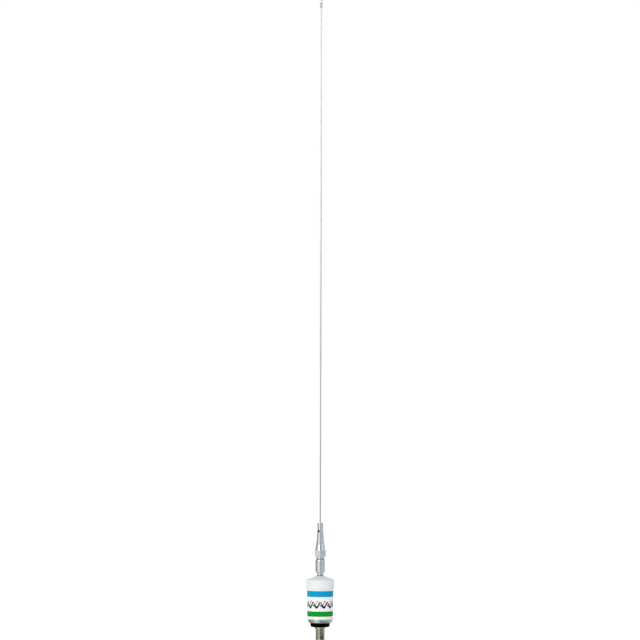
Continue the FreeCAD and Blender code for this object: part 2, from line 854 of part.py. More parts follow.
def make_terminal_nut():
    """Hexagon nut that pulls the stud, the coupling and the cap together."""
    body = new_body("terminal_nut", f"{CEILING} - washer_height - lug_thickness - star_height - nut_height")
    plan = sketch_on(body, "hexagon_outline", LEVEL)
    hexagon(plan, "nut_across")
    pad(body, "hexagon", plan, "nut_height")
    break_hex_corners(body, "corners", "nut_across", "0", "nut_height", "nut_chamfer")
    bore = sketch_on(body, "bore_outline", LEVEL, "nut_height")
    circle(bore, "stud_bore")
    pocket(body, "bore", bore, "nut_height")
    return body


def make_star_washer():
    """Toothed washer between the nut and the lug."""
    level = f"{CEILING} - washer_height - lug_thickness - star_height"
    body = ring("terminal_star_washer", level, "stud_clearance", "star_root", "star_height")
    tooth = sketch_on(body, "tooth_outline", LEVEL)
    outline(tooth, [
        ("star_root - tooth_bed", "-star_tooth / 2"),
        ("star_radius", "-star_tooth / 2"),
        ("star_radius", "star_tooth / 2"),
        ("star_root - tooth_bed", "star_tooth / 2"),
    ])
    single = pad(body, "tooth", tooth, "star_height")
    repeat(body, "teeth", [single], int(value("star_teeth")))
    return body


def make_coupling():
    """Cylinder with a slimmer neck below and a broken shoulder above, bored for the stud."""
    body = new_body("coupling", "coupling_bottom")
    revolve(body, "turned_coupling", [
        ("stud_bore", "0"),
        ("neck_radius - neck_break", "0"),
        ("neck_radius", "neck_break"),
        ("neck_radius", "neck_height"),
        ("coupling_foot", "neck_height"),
        ("coupling_radius", "neck_height + coupling_round"),
        ("coupling_radius", "coupling_height - shoulder_drop"),
        ("coupling_shoulder", "coupling_height"),
        ("stud_bore", "coupling_height"),
    ])
    return body


def make_lock_washer():
    """Spring washer, split at one side."""
    body = ring("lock_washer", "coupling_bottom + coupling_height", "lock_bore", "lock_radius",
                "lock_height", "lock_break")
    split = sketch_on(body, "split_outline", LEVEL, "lock_height", turn=SPLIT_TURN)
    outline(split, [
        ("lock_bore - cutter_over", "-lock_slot / 2"),
        ("lock_radius + cutter_over", "split_shift - lock_slot / 2"),
        ("lock_radius + cutter_over", "split_shift + lock_slot / 2"),
        ("lock_bore - cutter_over", "lock_slot / 2"),
    ])
    pocket(body, "split", split, "lock_height")
    return body


# ---------------------------------------------------------------- ferrule, set screw and whip

def make_ferrule():
    """Hexagon below, flared skirt and slim barrel above, bored for the stud and for the whip."""
    body = new_body("ferrule", "ferrule_bottom")
    plan = sketch_on(body, "hexagon_outline", LEVEL, "foot_height")
    hexagon(plan, "hex_across", turn=-90.0 - value("ferrule_turn"))
    pad(body, "hexagon", plan, "hex_height")
    hex_top = "foot_height + hex_height"
    break_hex_corners(body, "corners", "hex_across", "foot_height", hex_top, "hex_chamfer")
    revolve(body, "turned_skirt", [
        ("0", "0"),
        ("foot_radius", "0"),
        ("foot_radius", "foot_height + skirt_lift"),
        ("skirt_radius", "foot_height + skirt_lift"),
        ("skirt_radius", hex_top),
        ("skirt_waist", "waist_height", "-flare_radius"),
        ("barrel_radius", "flare_height"),
        ("barrel_radius", "ferrule_height - barrel_round"),
        ("barrel_radius - barrel_round", "ferrule_height"),
        ("0", "ferrule_height"),
    ])
    groove(body, "stud_hole", [
        ("0", "0"),
        ("stud_bore", "0"),
        ("stud_bore", "stud_bore_depth"),
        ("0", "stud_bore_depth + drill_point"),
    ])
    groove(body, "whip_hole", [
        ("0", "whip_floor"),
        ("whip_bore", "whip_floor"),
        ("whip_bore", "ferrule_height"),
        ("0", "ferrule_height"),
    ])
    mouth = sketch_on(body, "set_screw_outline", FRONT)
    circle(mouth, "set_screw_bore", "0", "set_screw_height")
    pocket(body, "set_screw_hole", mouth, "barrel_radius + cutter_over", forward=True)
    body.Placement.Rotation = FreeCAD.Rotation(Vector(0, 0, 1), value("ferrule_turn"))
    doc.recompute()
    return body


def make_set_screw():
    """Socket set screw, drawn up its own axis and laid in the ferrule's side hole."""
    body = new_body("set_screw")
    revolve(body, "turned_screw", [
        ("0", "0"),
        ("set_screw_radius - set_screw_point", "0"),
        ("set_screw_radius", "set_screw_point"),
        ("set_screw_radius", "set_screw_length - set_screw_break"),
        ("set_screw_radius - set_screw_break", "set_screw_length"),
        ("0", "set_screw_length"),
    ])
    key = sketch_on(body, "key_outline", LEVEL, "set_screw_length")
    hexagon(key, "set_screw_socket")
    pocket(body, "key_socket", key, "socket_reach")
    way = polar(1.0, value("ferrule_turn") - 90.0)
    level = Vector(0, 0, value("ferrule_bottom + set_screw_height"))
    start = value("whip_radius + set_screw_gap")
    body.Placement = FreeCAD.Placement(level + way * start, FreeCAD.Rotation(Vector(0, 0, 1), way))
    doc.recompute()
    return body


def make_whip():
    """Rod, straight in the ferrule and tapering above it."""
    body = new_body("whip", "ferrule_bottom + whip_floor")
    revolve(body, "drawn_rod", [
        ("0", "0"),
        ("whip_radius - whip_break", "0"),
        ("whip_radius", "whip_break"),
        ("whip_radius", "whip_straight"),
        ("whip_end", "whip_length"),
        ("0", "whip_length"),
    ])
    return body


def make_whip_tip():
    """Bead with a rounded nose, bored to cover the end of the whip."""
    body = new_body("whip_tip", "ferrule_bottom + whip_floor + whip_length - bead_cover")
    bead = revolve(body, "turned_bead", [
        ("bead_bore", "0"),
        ("bead_mouth", "0"),
        ("bead_radius", "bead_round"),
        ("bead_radius", "bead_length"),
        ("0", "bead_length"),
        ("0", "bead_cover"),
        ("bead_bore", "bead_cover"),
    ])
    fillet_rim(body, "nose", bead, "bead_radius", "bead_length", "bead_nose")
    return body


# ---------------------------------------------------------------- assembly and output

parts = [
    make_connector_shell(),
    make_connector_insulator(),
    make_centre_contact(),
    screws("flange_screws", "plug_bottom", 4, "screw_circle", "screw_radius", "screw_length",
           "countersink_radius", "countersink_depth", SCREW_TURN, sunk=True),
    ring("clamp_ring", "0", "ring_bore", "ring_radius", "ring_height", "ring_chamfer"),
    make_seat_gasket(),
    make_base_plug(),
    make_base_o_ring(),
    make_coil_form(),
    screws("form_screws", "form_bottom + form_flange_height", 3, "form_screw_circle",
           "form_screw_radius", "form_screw_length", "form_head_radius", "form_head_height",
           FORM_SCREW_TURN, sunk=False),
    make_loading_coil(),
    make_feed_lead(),
    make_ground_lug(),
    screws("ground_screw", "plug_bottom + floor_height + lug_thickness", 1, "ground_circle",
           "screw_radius", "ground_screw_length", "ground_head_radius", "ground_head_height", 90.0,
           sunk=False),
    make_housing_sleeve(),
    make_label_band(),
    make_top_cap(),
    make_stud(),
    ring("terminal_washer", f"{CEILING} - washer_height", "stud_clearance", "washer_radius",
         "washer_height"),
    make_lug("terminal_lug", f"{CEILING} - washer_height - lug_thickness", "stud_clearance",
             "terminal_radius", "coil_radius + lug_tab"),
    make_star_washer(),
    make_terminal_nut(),
    ring("stud_seal", "coupling_bottom - seal_height", "stud_clearance", "seal_radius", "seal_height"),
    make_coupling(),
    make_lock_washer(),
    make_ferrule(),
    make_set_screw(),
    make_whip(),
    make_whip_tip(),
]
terminal_lug = next(item for item in parts if item.Label == "terminal_lug")
terminal_lug.Placement.Rotation = FreeCAD.Rotation(Vector(0, 0, 1), value("coil_start"))

doc.recompute()
for item in doc.Objects:
    if "Invalid" in item.State or "Error" in item.State:
        raise RuntimeError(f"{item.Label} failed: {item.State}")

os.makedirs("parts", exist_ok=True)
for item in parts:
    if item.Shape.isNull() or not item.Shape.isValid():
        raise RuntimeError(f"{item.Label} has no valid shape")
    item.Shape.exportStep(f"parts/{item.Label}.step")
    low, high = item.Shape.BoundBox.ZMin, item.Shape.BoundBox.ZMax
    print(f"{item.Label:22s} {len(item.Shape.Solids)} solid, {item.Shape.Volume:9.1f} mm3,"
          f" z {low:8.2f} to {high:8.2f}")
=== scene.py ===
"""Looks of a marine whip antenna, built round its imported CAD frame.

Every piece is modelled in millimetres with bmesh operators, on the antenna's own axis, and scaled to
metres when it is finished. Heights and radii come from the frame's boxes and from a few sizes of the
real parts. The frame's nodes that stay, all inside the housing, only get a finish.
"""
import logging
import math
from dataclasses import dataclass
from enum import Enum
from typing import Any, Optional, Sequence

import bmesh
import bpy
from bmesh.types import BMesh, BMVert
from mathutils import Matrix, Vector


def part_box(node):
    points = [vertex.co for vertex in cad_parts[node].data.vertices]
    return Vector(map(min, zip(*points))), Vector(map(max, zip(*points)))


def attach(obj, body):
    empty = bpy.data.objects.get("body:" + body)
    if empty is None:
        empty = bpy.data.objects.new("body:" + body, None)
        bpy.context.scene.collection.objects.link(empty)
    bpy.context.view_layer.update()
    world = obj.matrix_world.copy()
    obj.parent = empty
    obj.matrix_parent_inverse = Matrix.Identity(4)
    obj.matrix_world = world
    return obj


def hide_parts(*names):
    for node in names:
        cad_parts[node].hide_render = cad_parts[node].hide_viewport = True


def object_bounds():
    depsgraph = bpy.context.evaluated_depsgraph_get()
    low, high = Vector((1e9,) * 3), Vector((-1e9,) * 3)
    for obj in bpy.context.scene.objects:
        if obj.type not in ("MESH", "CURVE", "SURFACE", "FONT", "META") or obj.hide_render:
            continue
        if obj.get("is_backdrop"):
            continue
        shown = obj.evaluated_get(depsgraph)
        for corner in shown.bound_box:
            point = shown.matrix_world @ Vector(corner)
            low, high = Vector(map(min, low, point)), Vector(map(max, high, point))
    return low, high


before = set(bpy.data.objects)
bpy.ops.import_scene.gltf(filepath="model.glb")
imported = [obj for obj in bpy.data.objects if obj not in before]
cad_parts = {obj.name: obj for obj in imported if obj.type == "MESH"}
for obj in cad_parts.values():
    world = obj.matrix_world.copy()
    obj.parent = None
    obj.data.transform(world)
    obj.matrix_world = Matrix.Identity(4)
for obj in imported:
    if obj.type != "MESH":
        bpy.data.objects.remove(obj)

log = logging.getLogger("whip_antenna")

MM = 0.001                      # metres in a millimetre
FULL_TURN = 2.0 * math.pi
MERGE_MM = 0.002                # points nearer than this are one
HEX_SIDES = 6
INCH = 25.4                     # millimetres in an inch
BANDS_PER_UNIT = 20.0 / FULL_TURN   # what the wave texture draws in one unit at a scale of 1
# One pitch of a thread's outline: how far up the pitch each corner is, and how much of the depth stands.
THREAD_OUTLINE = ((0.0, 1.0), (0.14, 1.0), (0.44, 0.0), (0.70, 0.0))


# ---------------------------------------------------------------- the frame's sizes

@dataclass(frozen=True)
class Span:
    """The room that a CAD node takes, in millimetres."""

    low: Vector
    high: Vector

    @property
    def bottom(self) -> float:
        """Lowest height."""
        return self.low.z

    @property
    def top(self) -> float:
        """Highest height."""
        return self.high.z

    @property
    def radius(self) -> float:
        """Half of the width along X."""
        return (self.high.x - self.low.x) / 2.0


def span(node: str) -> Span:
    """Read a CAD node's box.

    Args:
        node: name of the CAD node.

    Returns:
        Its span in millimetres.
    """
    low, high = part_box(node)
    return Span(Vector(low) / MM, Vector(high) / MM)


class Body(Enum):
    """The CAD bodies that pieces ride on."""

    BASE = "base"
    LOCK_WASHER = "lock_washer"
    FERRULE = "ferrule"
    WHIP = "whip"
    SET_SCREW = "set_screw"


# ---------------------------------------------------------------- materials

def linear(colour: str) -> tuple[float, float, float, float]:
    """Turn an sRGB hex colour into linear light.

    Args:
        colour: six hex digits.

    Returns:
        Red, green, blue and an alpha of one.
    """
    levels = [int(colour[place:place + 2], 16) / 255.0 for place in (0, 2, 4)]
    light = [level / 12.92 if level <= 0.04045 else ((level + 0.055) / 1.055) ** 2.4 for level in levels]
    return (*light, 1.0)


Socket = bpy.types.NodeSocket


def add_node(tree: bpy.types.NodeTree, kind: str, settings: Optional[dict[str, Any]] = None,
             inputs: Optional[dict[Any, Any]] = None) -> bpy.types.Node:
    """Add a node with its settings, and link or set its inputs.

    Args:
        tree: the node tree that it goes in.
        kind: the node's type name.
        settings: properties of the node.
        inputs: for each input's name or number, a value, or the output socket to link to it.

    Returns:
        The node.
    """
    node = tree.nodes.new(kind)
    for name, setting in (settings or {}).items():
        setattr(node, name, setting)
    for name, given in (inputs or {}).items():
        if isinstance(given, Socket):
            tree.links.new(given, node.inputs[name])
        else:
            node.inputs[name].default_value = given
    return node


def fill_ramp(node: bpy.types.Node, stops: Sequence[tuple[float, str]]) -> None:
    """Give a colour ramp its stops.

    Args:
        node: the ramp node.
        stops: place and sRGB colour of each stop, from low to high.
    """
    elements = node.color_ramp.elements
    while len(elements) < len(stops):
        elements.new(0.5)
    for element, (place, colour) in zip(elements, stops):
        element.position = place
        element.color = linear(colour)


@dataclass(frozen=True)
class Finish:
    """What every finish has: its name, its colours, and how smooth it is.

    A finish has a fine colour drift between two shades, a fine drift of roughness, and a bump whose
    grain may be drawn out along one direction.
    """

    name: str
    shade: str
    second_shade: str
    metallic: float
    roughness: float
    roughness_drift: float
    grain_mm: tuple[float, float, float]
    bump_mm: float
    drift_mm: float = 12.0
    ior: Optional[float] = None

    def coordinates(self, tree: bpy.types.NodeTree, size_mm: tuple[float, float, float]) -> Socket:
        """Object coordinates, counted in grains.

        Args:
            tree: the material's node tree.
            size_mm: size of one grain along X, Y and Z.

        Returns:
            The socket that gives the coordinates.
        """
        place = add_node(tree, "ShaderNodeTexCoord")
        mapping = add_node(tree, "ShaderNodeMapping", None, {
            "Vector": place.outputs["Object"], "Scale": tuple(1.0 / (size * MM) for size in size_mm)})
        return mapping.outputs["Vector"]

    def height_pattern(self, tree: bpy.types.NodeTree) -> Socket:
        """The grain that makes the bump: noise at the finish's own grain size.

        Args:
            tree: the material's node tree.

        Returns:
            The socket that gives the height.
        """
        noise = add_node(tree, "ShaderNodeTexNoise", None, {
            "Vector": self.coordinates(tree, self.grain_mm), "Scale": 1.0, "Detail": 3.0, "Roughness": 0.55})
        return noise.outputs["Fac"]

    def colour(self, tree: bpy.types.NodeTree) -> Socket:
        """A slow drift between the finish's two shades.

        Args:
            tree: the material's node tree.

        Returns:
            The socket that gives the colour.
        """
        noise = add_node(tree, "ShaderNodeTexNoise", None, {
            "Vector": self.coordinates(tree, (self.drift_mm,) * 3), "Scale": 1.0, "Detail": 2.0})
        ramp = add_node(tree, "ShaderNodeValToRGB", None, {"Fac": noise.outputs["Fac"]})
        fill_ramp(ramp, ((0.35, self.shade), (0.70, self.second_shade)))
        return ramp.outputs["Color"]

    def roughness_pattern(self, tree: bpy.types.NodeTree) -> Socket:
        """A slow drift of the roughness round its own value.

        Args:
            tree: the material's node tree.

        Returns:
            The socket that gives the roughness.
        """
        noise = add_node(tree, "ShaderNodeTexNoise", None, {
            "Vector": self.coordinates(tree, (self.drift_mm * 0.4,) * 3), "Scale": 1.0, "Detail": 4.0})
        spread = add_node(tree, "ShaderNodeMapRange", None, {
            "Value": noise.outputs["Fac"], "From Min": 0.3, "From Max": 0.7,
            "To Min": max(0.02, self.roughness - self.roughness_drift),
            "To Max": min(1.0, self.roughness + self.roughness_drift)})
        return spread.outputs["Result"]

    def build(self) -> bpy.types.Material:
        """Make the material.

        Returns:
            The material, with its nodes.
        """
        material = bpy.data.materials.new(self.name)
        material.use_nodes = True
        tree = material.node_tree
        tree.nodes.clear()
        bump = add_node(tree, "ShaderNodeBump", None, {
            "Height": self.height_pattern(tree), "Strength": 1.0, "Distance": self.bump_mm * MM})
        shader = add_node(tree, "ShaderNodeBsdfPrincipled", None, {
            "Base Color": self.colour(tree), "Metallic": self.metallic,
            "Roughness": self.roughness_pattern(tree), "Normal": bump.outputs["Normal"]})
        if self.ior is not None:
            shader.inputs["IOR"].default_value = self.ior
        add_node(tree, "ShaderNodeOutputMaterial", None, {"Surface": shader.outputs["BSDF"]})
        return material


@dataclass(frozen=True)
class TurnedFinish(Finish):
    """A finish cut on a lathe: the bump is a run of fine rings, one for each pass of the tool."""

    ring_mm: float = 0.188

    def height_pattern(self, tree: bpy.types.NodeTree) -> Socket:
        """Tool rings up the axis, a little uneven.

        Args:
            tree: the material's node tree.

        Returns:
            The socket that gives the height.
        """
        wave = add_node(tree, "ShaderNodeTexWave", {
            "wave_type": "BANDS", "bands_direction": "Z", "wave_profile": "SIN"}, {
            "Vector": self.coordinates(tree, (self.ring_mm * BANDS_PER_UNIT,) * 3), "Scale": 1.0,
            "Distortion": 0.6, "Detail": 2.0, "Detail Scale": 1.5})
        return wave.outputs["Fac"]


# Drawn stainless steel: the die leaves fine lines along the rod, so the grain is long in Z. They are
# really about 0.05 mm apart and are drawn coarser, so that they show.
DRAWN_STAINLESS = Finish("drawn_stainless_steel", "CDCFD0", "D9DADB", 1.0, 0.32, 0.05,
                         (0.30, 0.30, 20.0), 0.002, drift_mm=40.0)
# Chrome plate on polished brass: almost a mirror, with a faint waviness from the polishing wheel.
CHROME_PLATE = Finish("polished_chrome_plate", "DDE0E4", "E6E8EB", 1.0, 0.06, 0.02,
                      (4.0, 4.0, 6.0), 0.003, drift_mm=8.0)
# Oiled alloy steel of a set screw: near black, with a dull shine.
BLACK_OXIDE = Finish("black_oxide_steel", "1E1F20", "2B2C2D", 1.0, 0.38, 0.08, (0.2, 0.2, 0.2), 0.003,
                     drift_mm=1.5)
# Stainless spring steel, rolled: a soft shine with short lines.
SPRING_STEEL = Finish("rolled_spring_steel", "DADCDD", "E4E5E6", 1.0, 0.26, 0.05, (0.5, 0.5, 0.15), 0.002,
                      drift_mm=3.0)
# Stainless stud with a rolled thread: bright crests and duller flanks.
THREADED_STEEL = Finish("rolled_stainless_thread", "9EA0A2", "BBBDBE", 1.0, 0.24, 0.08,
                        (0.4, 0.4, 0.2), 0.003, drift_mm=2.5)
# White ASA from a polished mould: semi gloss, with a very faint orange peel about 1 mm across.
MOULDED_ASA = Finish("moulded_white_asa", "DFE1E0", "E3E5E4", 0.0, 0.34, 0.04, (1.1, 1.1, 1.1), 0.004,
                     drift_mm=20.0, ior=1.51)
# White vinyl film, calendered and laminated: smoother and whiter than the housing below it.
VINYL_FILM = Finish("white_vinyl_film", "E8E8EA", "ECECED", 0.0, 0.30, 0.03, (2.5, 2.5, 2.5), 0.002,
                    drift_mm=15.0, ior=1.5)
# Screen-printed inks on that film: a slightly uneven, dense layer.
BLUE_INK = Finish("screen_printed_blue_ink", "0299C4", "0291C5", 0.0, 0.34, 0.04, (0.8, 0.8, 0.8), 0.001,
                  drift_mm=9.0, ior=1.16)
GREEN_INK = Finish("screen_printed_green_ink", "009323", "00922B", 0.0, 0.34, 0.04, (0.8, 0.8, 0.8), 0.001,
                   drift_mm=9.0, ior=1.16)
BLACK_INK = Finish("screen_printed_black_ink", "1B181A", "242123", 0.0, 0.36, 0.04, (0.8, 0.8, 0.8), 0.001,
                   drift_mm=5.0, ior=1.25)
# Turned aluminium, satin anodised: grey, with tool rings really about 0.1 mm apart, drawn coarser.
TURNED_ALUMINIUM = TurnedFinish("turned_anodised_aluminium", "C8CBCA", "D2D5D4", 1.0, 0.24, 0.05,
                                (0.3, 0.3, 0.3), 0.003, drift_mm=8.0, ring_mm=0.22)
# EPDM rubber from a blasted mould: deep black, matt, with a fine grain.
MOULDED_RUBBER = Finish("moulded_epdm_rubber", "010101", "030303", 0.0, 0.66, 0.06,
                        (0.35, 0.35, 0.35), 0.015, drift_mm=5.0, ior=1.12)
# Nickel plate on turned brass: warm grey, with a faint brown bloom.
NICKEL_PLATE = TurnedFinish("nickel_plated_brass", "D4D1C5", "C6C2B0", 1.0, 0.20, 0.05,
                            (0.3, 0.3, 0.3), 0.002, drift_mm=4.0, ring_mm=0.157)
# PTFE, turned: waxy white, a little see-through at its edges in life, with soft tool rings.
TURNED_PTFE = TurnedFinish("turned_ptfe", "EDEBE3", "F1F0EA", 0.0, 0.42, 0.05, (0.4, 0.4, 0.4), 0.006,
                           drift_mm=4.0, ior=1.35)
# Gold flash over nickel on a spring contact: smooth and yellow.
GOLD_FLASH = Finish("gold_flashed_contact", "D9B566", "CFA654", 1.0, 0.18, 0.05, (0.2, 0.2, 0.8), 0.002,
                    drift_mm=2.0)
# Turned brass left bare: yellow, with tool rings.
TURNED_BRASS = TurnedFinish("turned_brass", "C6A55E", "B9944C", 1.0, 0.26, 0.06, (0.3, 0.3, 0.3), 0.005,
                            drift_mm=4.0)
# Bare copper wire, drawn: salmon, a little darker where it has been handled.
DRAWN_COPPER = Finish("drawn_copper_wire", "C97F5B", "A8613F", 1.0, 0.28, 0.08, (0.3, 0.3, 0.3), 0.003,
                      drift_mm=5.0)
# Hot-tinned brass: pale grey with soft frosty patches.
TINNED_BRASS = Finish("tinned_brass", "B7B8B6", "A4A5A2", 1.0, 0.36, 0.08, (0.6, 0.6, 0.6), 0.004,
                      drift_mm=2.5)
# Glass cloth and resin, wound into a tube: tan, with the weave showing about 1 mm apart.
GLASS_RESIN = Finish("wound_glass_resin", "C9B27A", "B79E63", 0.0, 0.45, 0.08, (1.0, 1.0, 1.0), 0.03,
                     drift_mm=3.0, ior=1.55)


class Palette:
    """Builds each finish once, when it is first asked for."""

    def __init__(self) -> None:
        """Start with nothing built."""
        self.made: dict[str, bpy.types.Material] = {}

    def get(self, finish: Finish) -> bpy.types.Material:
        """The material of a finish.

        Args:
            finish: the finish asked for.

        Returns:
            Its material.
        """
        if finish.name not in self.made:
            self.made[finish.name] = finish.build()
        return self.made[finish.name]


# ---------------------------------------------------------------- mesh work

@dataclass(frozen=True)
class Corner:
    """A corner of a turned outline, in millimetres, with how far back from it its rounding starts."""

    radius: float
    height: float
    round: float = 0.0
    steps: int = 4


def arc_corners(start: Corner, end: Corner, bulge: float, count: int) -> list[Corner]:
    """Corners along a shallow arc between two corners, both left out.

    Args:
        start: where the arc begins.
        end: where it ends.
        bulge: how far its middle stands to the left of the straight way.
        count: how many corners to make.

    Returns:
        The corners between the two ends.
    """
    first = Vector((start.radius, start.height))
    last = Vector((end.radius, end.height))
    chord = last - first
    left = Vector((-chord.y, chord.x)).normalized()
    size = (chord.length ** 2 / 4.0 + bulge ** 2) / (2.0 * abs(bulge))
    centre = (first + last) / 2.0 + left * (bulge - math.copysign(size, bulge))
    corners = []
    for number in range(1, count + 1):
        point = first.lerp(last, number / (count + 1))
        point = centre + (point - centre).normalized() * size
        corners.append(Corner(point.x, point.y))
    return corners


def draw_outline(mesh: BMesh, corners: Sequence[Corner], closed: bool) -> None:
    """Draw an outline as a wire on the plane of X and Z, then round its corners.

    Args:
        mesh: the mesh to draw in.
        corners: the outline's corners in order.
        closed: whether the last corner joins the first.
    """
    points = [mesh.verts.new((corner.radius, 0.0, corner.height)) for corner in corners]
    for first, last in zip(points, points[1:]):
        mesh.edges.new((first, last))
    if closed:
        mesh.edges.new((points[-1], points[0]))
    for corner, point in zip(corners, points):
        if corner.round > 0.0:
            bmesh.ops.bevel(mesh, geom=[point], offset=corner.round, offset_type="OFFSET",
                            segments=corner.steps, profile=0.5, affect="VERTICES", material=-1)


def spin_round(mesh: BMesh, steps: int) -> None:
    """Spin all that is drawn once round the vertical axis, and close its seam and poles.

    Args:
        mesh: the mesh that holds the outline.
        steps: facets round the axis.
    """
    bmesh.ops.spin(mesh, geom=mesh.verts[:] + mesh.edges[:], cent=(0, 0, 0), axis=(0, 0, 1),
                   dvec=(0, 0, 0), angle=FULL_TURN, steps=steps, use_merge=True)
    bmesh.ops.remove_doubles(mesh, verts=mesh.verts, dist=MERGE_MM)
    bmesh.ops.dissolve_degenerate(mesh, edges=mesh.edges, dist=MERGE_MM / 2.0)


def turned(corners: Sequence[Corner], steps: int = 96) -> BMesh:
    """Turn a closed outline into a solid of revolution.

    Args:
        corners: the outline. One that meets the axis starts and ends there.
        steps: facets round the axis.

    Returns:
        The mesh.
    """
    mesh = bmesh.new()
    on_axis = corners[0].radius == 0.0 and corners[-1].radius == 0.0
    draw_outline(mesh, corners, closed=not on_axis)
    spin_round(mesh, steps)
    bmesh.ops.recalc_face_normals(mesh, faces=mesh.faces)
    return mesh


def hexagon_radius(angle: float, across: float, turn: float) -> float:
    """How far a hexagon's edge is from its centre.

    Args:
        angle: direction in radians.
        across: width across flats.
        turn: direction of one corner, in radians.

    Returns:
        The distance, in the units of across.
    """
    sector = FULL_TURN / HEX_SIDES
    off_flat = (angle - turn) % sector - sector / 2.0
    return across / 2.0 / math.cos(off_flat)


def shape_hexagon(points: Sequence[BMVert], across: float, turn: float, most: float) -> None:
    """Move a round ring's points in onto a hexagon with its sharp corners turned off.

    Args:
        points: the ring's points.
        across: width across flats.
        turn: direction of one corner, in radians.
        most: radius that the corners are turned down to.
    """
    for point in points:
        angle = math.atan2(point.co.y, point.co.x)
        radius = min(hexagon_radius(angle, across, turn), most)
        point.co.x = radius * math.cos(angle)
        point.co.y = radius * math.sin(angle)


def ring_at(mesh: BMesh, height: float, inner: float, outer: float) -> list[BMVert]:
    """The points at one height whose distance from the axis lies between two radii.

    Args:
        mesh: the mesh to look in.
        height: the height.
        inner: least distance from the axis.
        outer: greatest distance from the axis.

    Returns:
        The points.
    """
    return [point for point in mesh.verts
            if abs(point.co.z - height) < MERGE_MM and inner <= point.co.xy.length <= outer]


@dataclass(frozen=True)
class Thread:
    """A right-handed screw thread with flat crests and roots."""

    radius: float
    pitch: float
    depth: float

    def skin(self, bottom: float, top: float, lead_in: float, steps: int = 64) -> BMesh:
        """The open skin of the thread between two heights.

        One pitch of the profile, repeated up the axis, is spun once while it rises by one pitch, so
        the seam closes on the next turn. The ends are cut flat.

        Args:
            bottom: lower end.
            top: upper end.
            lead_in: length over which each end tapers to the root.
            steps: facets round the axis.

        Returns:
            The mesh, open at both ends.
        """
        mesh = bmesh.new()
        root = self.radius - self.depth
        turns = math.ceil((top - bottom) / self.pitch) + 2
        start = bottom - 1.5 * self.pitch
        points = [mesh.verts.new((root + stands * self.depth, 0.0, start + (number + place) * self.pitch))
                  for number in range(turns + 1) for place, stands in THREAD_OUTLINE]
        for first, last in zip(points, points[1:]):
            mesh.edges.new((first, last))
        bmesh.ops.spin(mesh, geom=mesh.verts[:] + mesh.edges[:], cent=(0, 0, 0), axis=(0, 0, 1),
                       dvec=(0, 0, self.pitch / steps), angle=FULL_TURN, steps=steps, use_merge=False)
        bmesh.ops.remove_doubles(mesh, verts=mesh.verts, dist=MERGE_MM)
        for point in mesh.verts:
            inside = min(point.co.z - bottom, top - point.co.z)
            most = root + self.depth * min(1.0, max(0.0, inside / lead_in))
            if point.co.xy.length > most:
                point.co.xy = point.co.xy.normalized() * most
        for height, outward in ((bottom, -1.0), (top, 1.0)):
            bmesh.ops.bisect_plane(mesh, geom=mesh.verts[:] + mesh.edges[:] + mesh.faces[:],
                                   plane_co=(0, 0, height), plane_no=(0, 0, outward), clear_outer=True)
        bmesh.ops.remove_doubles(mesh, verts=mesh.verts, dist=MERGE_MM)
        return mesh


def open_edges(mesh: BMesh, height: float) -> list[bmesh.types.BMEdge]:
    """The edges at one height that have a face on one side only.

    Args:
        mesh: the mesh to look in.
        height: the height.

    Returns:
        The edges.
    """
    return [edge for edge in mesh.edges
            if edge.is_boundary and all(abs(point.co.z - height) < MERGE_MM * 5 for point in edge.verts)]


def join_rings(mesh: BMesh, height: float) -> None:
    """Bridge the two open rings that lie at one height."""
    bmesh.ops.bridge_loops(mesh, edges=open_edges(mesh, height))


def add_turned_skin(mesh: BMesh, corners: Sequence[Corner], steps: int) -> None:
    """Turn an open outline and add it to a mesh that already has faces.

    Args:
        mesh: the mesh that is added to.
        corners: the outline.
        steps: facets round the axis.
    """
    part = bmesh.new()
    draw_outline(part, corners, closed=False)
    spin_round(part, steps)
    scratch = bpy.data.meshes.new("scratch")
    part.to_mesh(scratch)
    part.free()
    mesh.from_mesh(scratch)
    bpy.data.meshes.remove(scratch)


def shade(data: bpy.types.Mesh, sharp_degrees: float) -> None:
    """Shade a mesh smooth, but for its sharp edges.

    Args:
        data: the mesh.
        sharp_degrees: edges sharper than this stay sharp.
    """
    for polygon in data.polygons:
        polygon.use_smooth = True
    data.set_sharp_from_angle(angle=math.radians(sharp_degrees))


def cut_away(target: bpy.types.Object, cutter_mesh: BMesh, sharp_degrees: float) -> None:
    """Cut one mesh out of a finished object.

    Args:
        target: the object that is cut, in metres.
        cutter_mesh: the shape that is taken away, in millimetres; it is used up.
        sharp_degrees: edges sharper than this aren't shaded smooth afterwards.
    """
    bmesh.ops.scale(cutter_mesh, vec=(MM, MM, MM), verts=cutter_mesh.verts)
    data = bpy.data.meshes.new("cutter")
    cutter_mesh.to_mesh(data)
    cutter_mesh.free()
    cutter = bpy.data.objects.new("cutter", data)
    bpy.context.scene.collection.objects.link(cutter)
    cut = target.modifiers.new("cut", "BOOLEAN")
    cut.operation = "DIFFERENCE"
    cut.solver = "EXACT"
    cut.object = cutter
    view = bpy.context.evaluated_depsgraph_get()
    result = bpy.data.meshes.new_from_object(target.evaluated_get(view))
    target.modifiers.clear()
    before = target.data
    name = before.name
    target.data = result
    bpy.data.meshes.remove(before)
    result.name = name
    bpy.data.objects.remove(cutter)
    bpy.data.meshes.remove(data)
    shade(result, sharp_degrees)


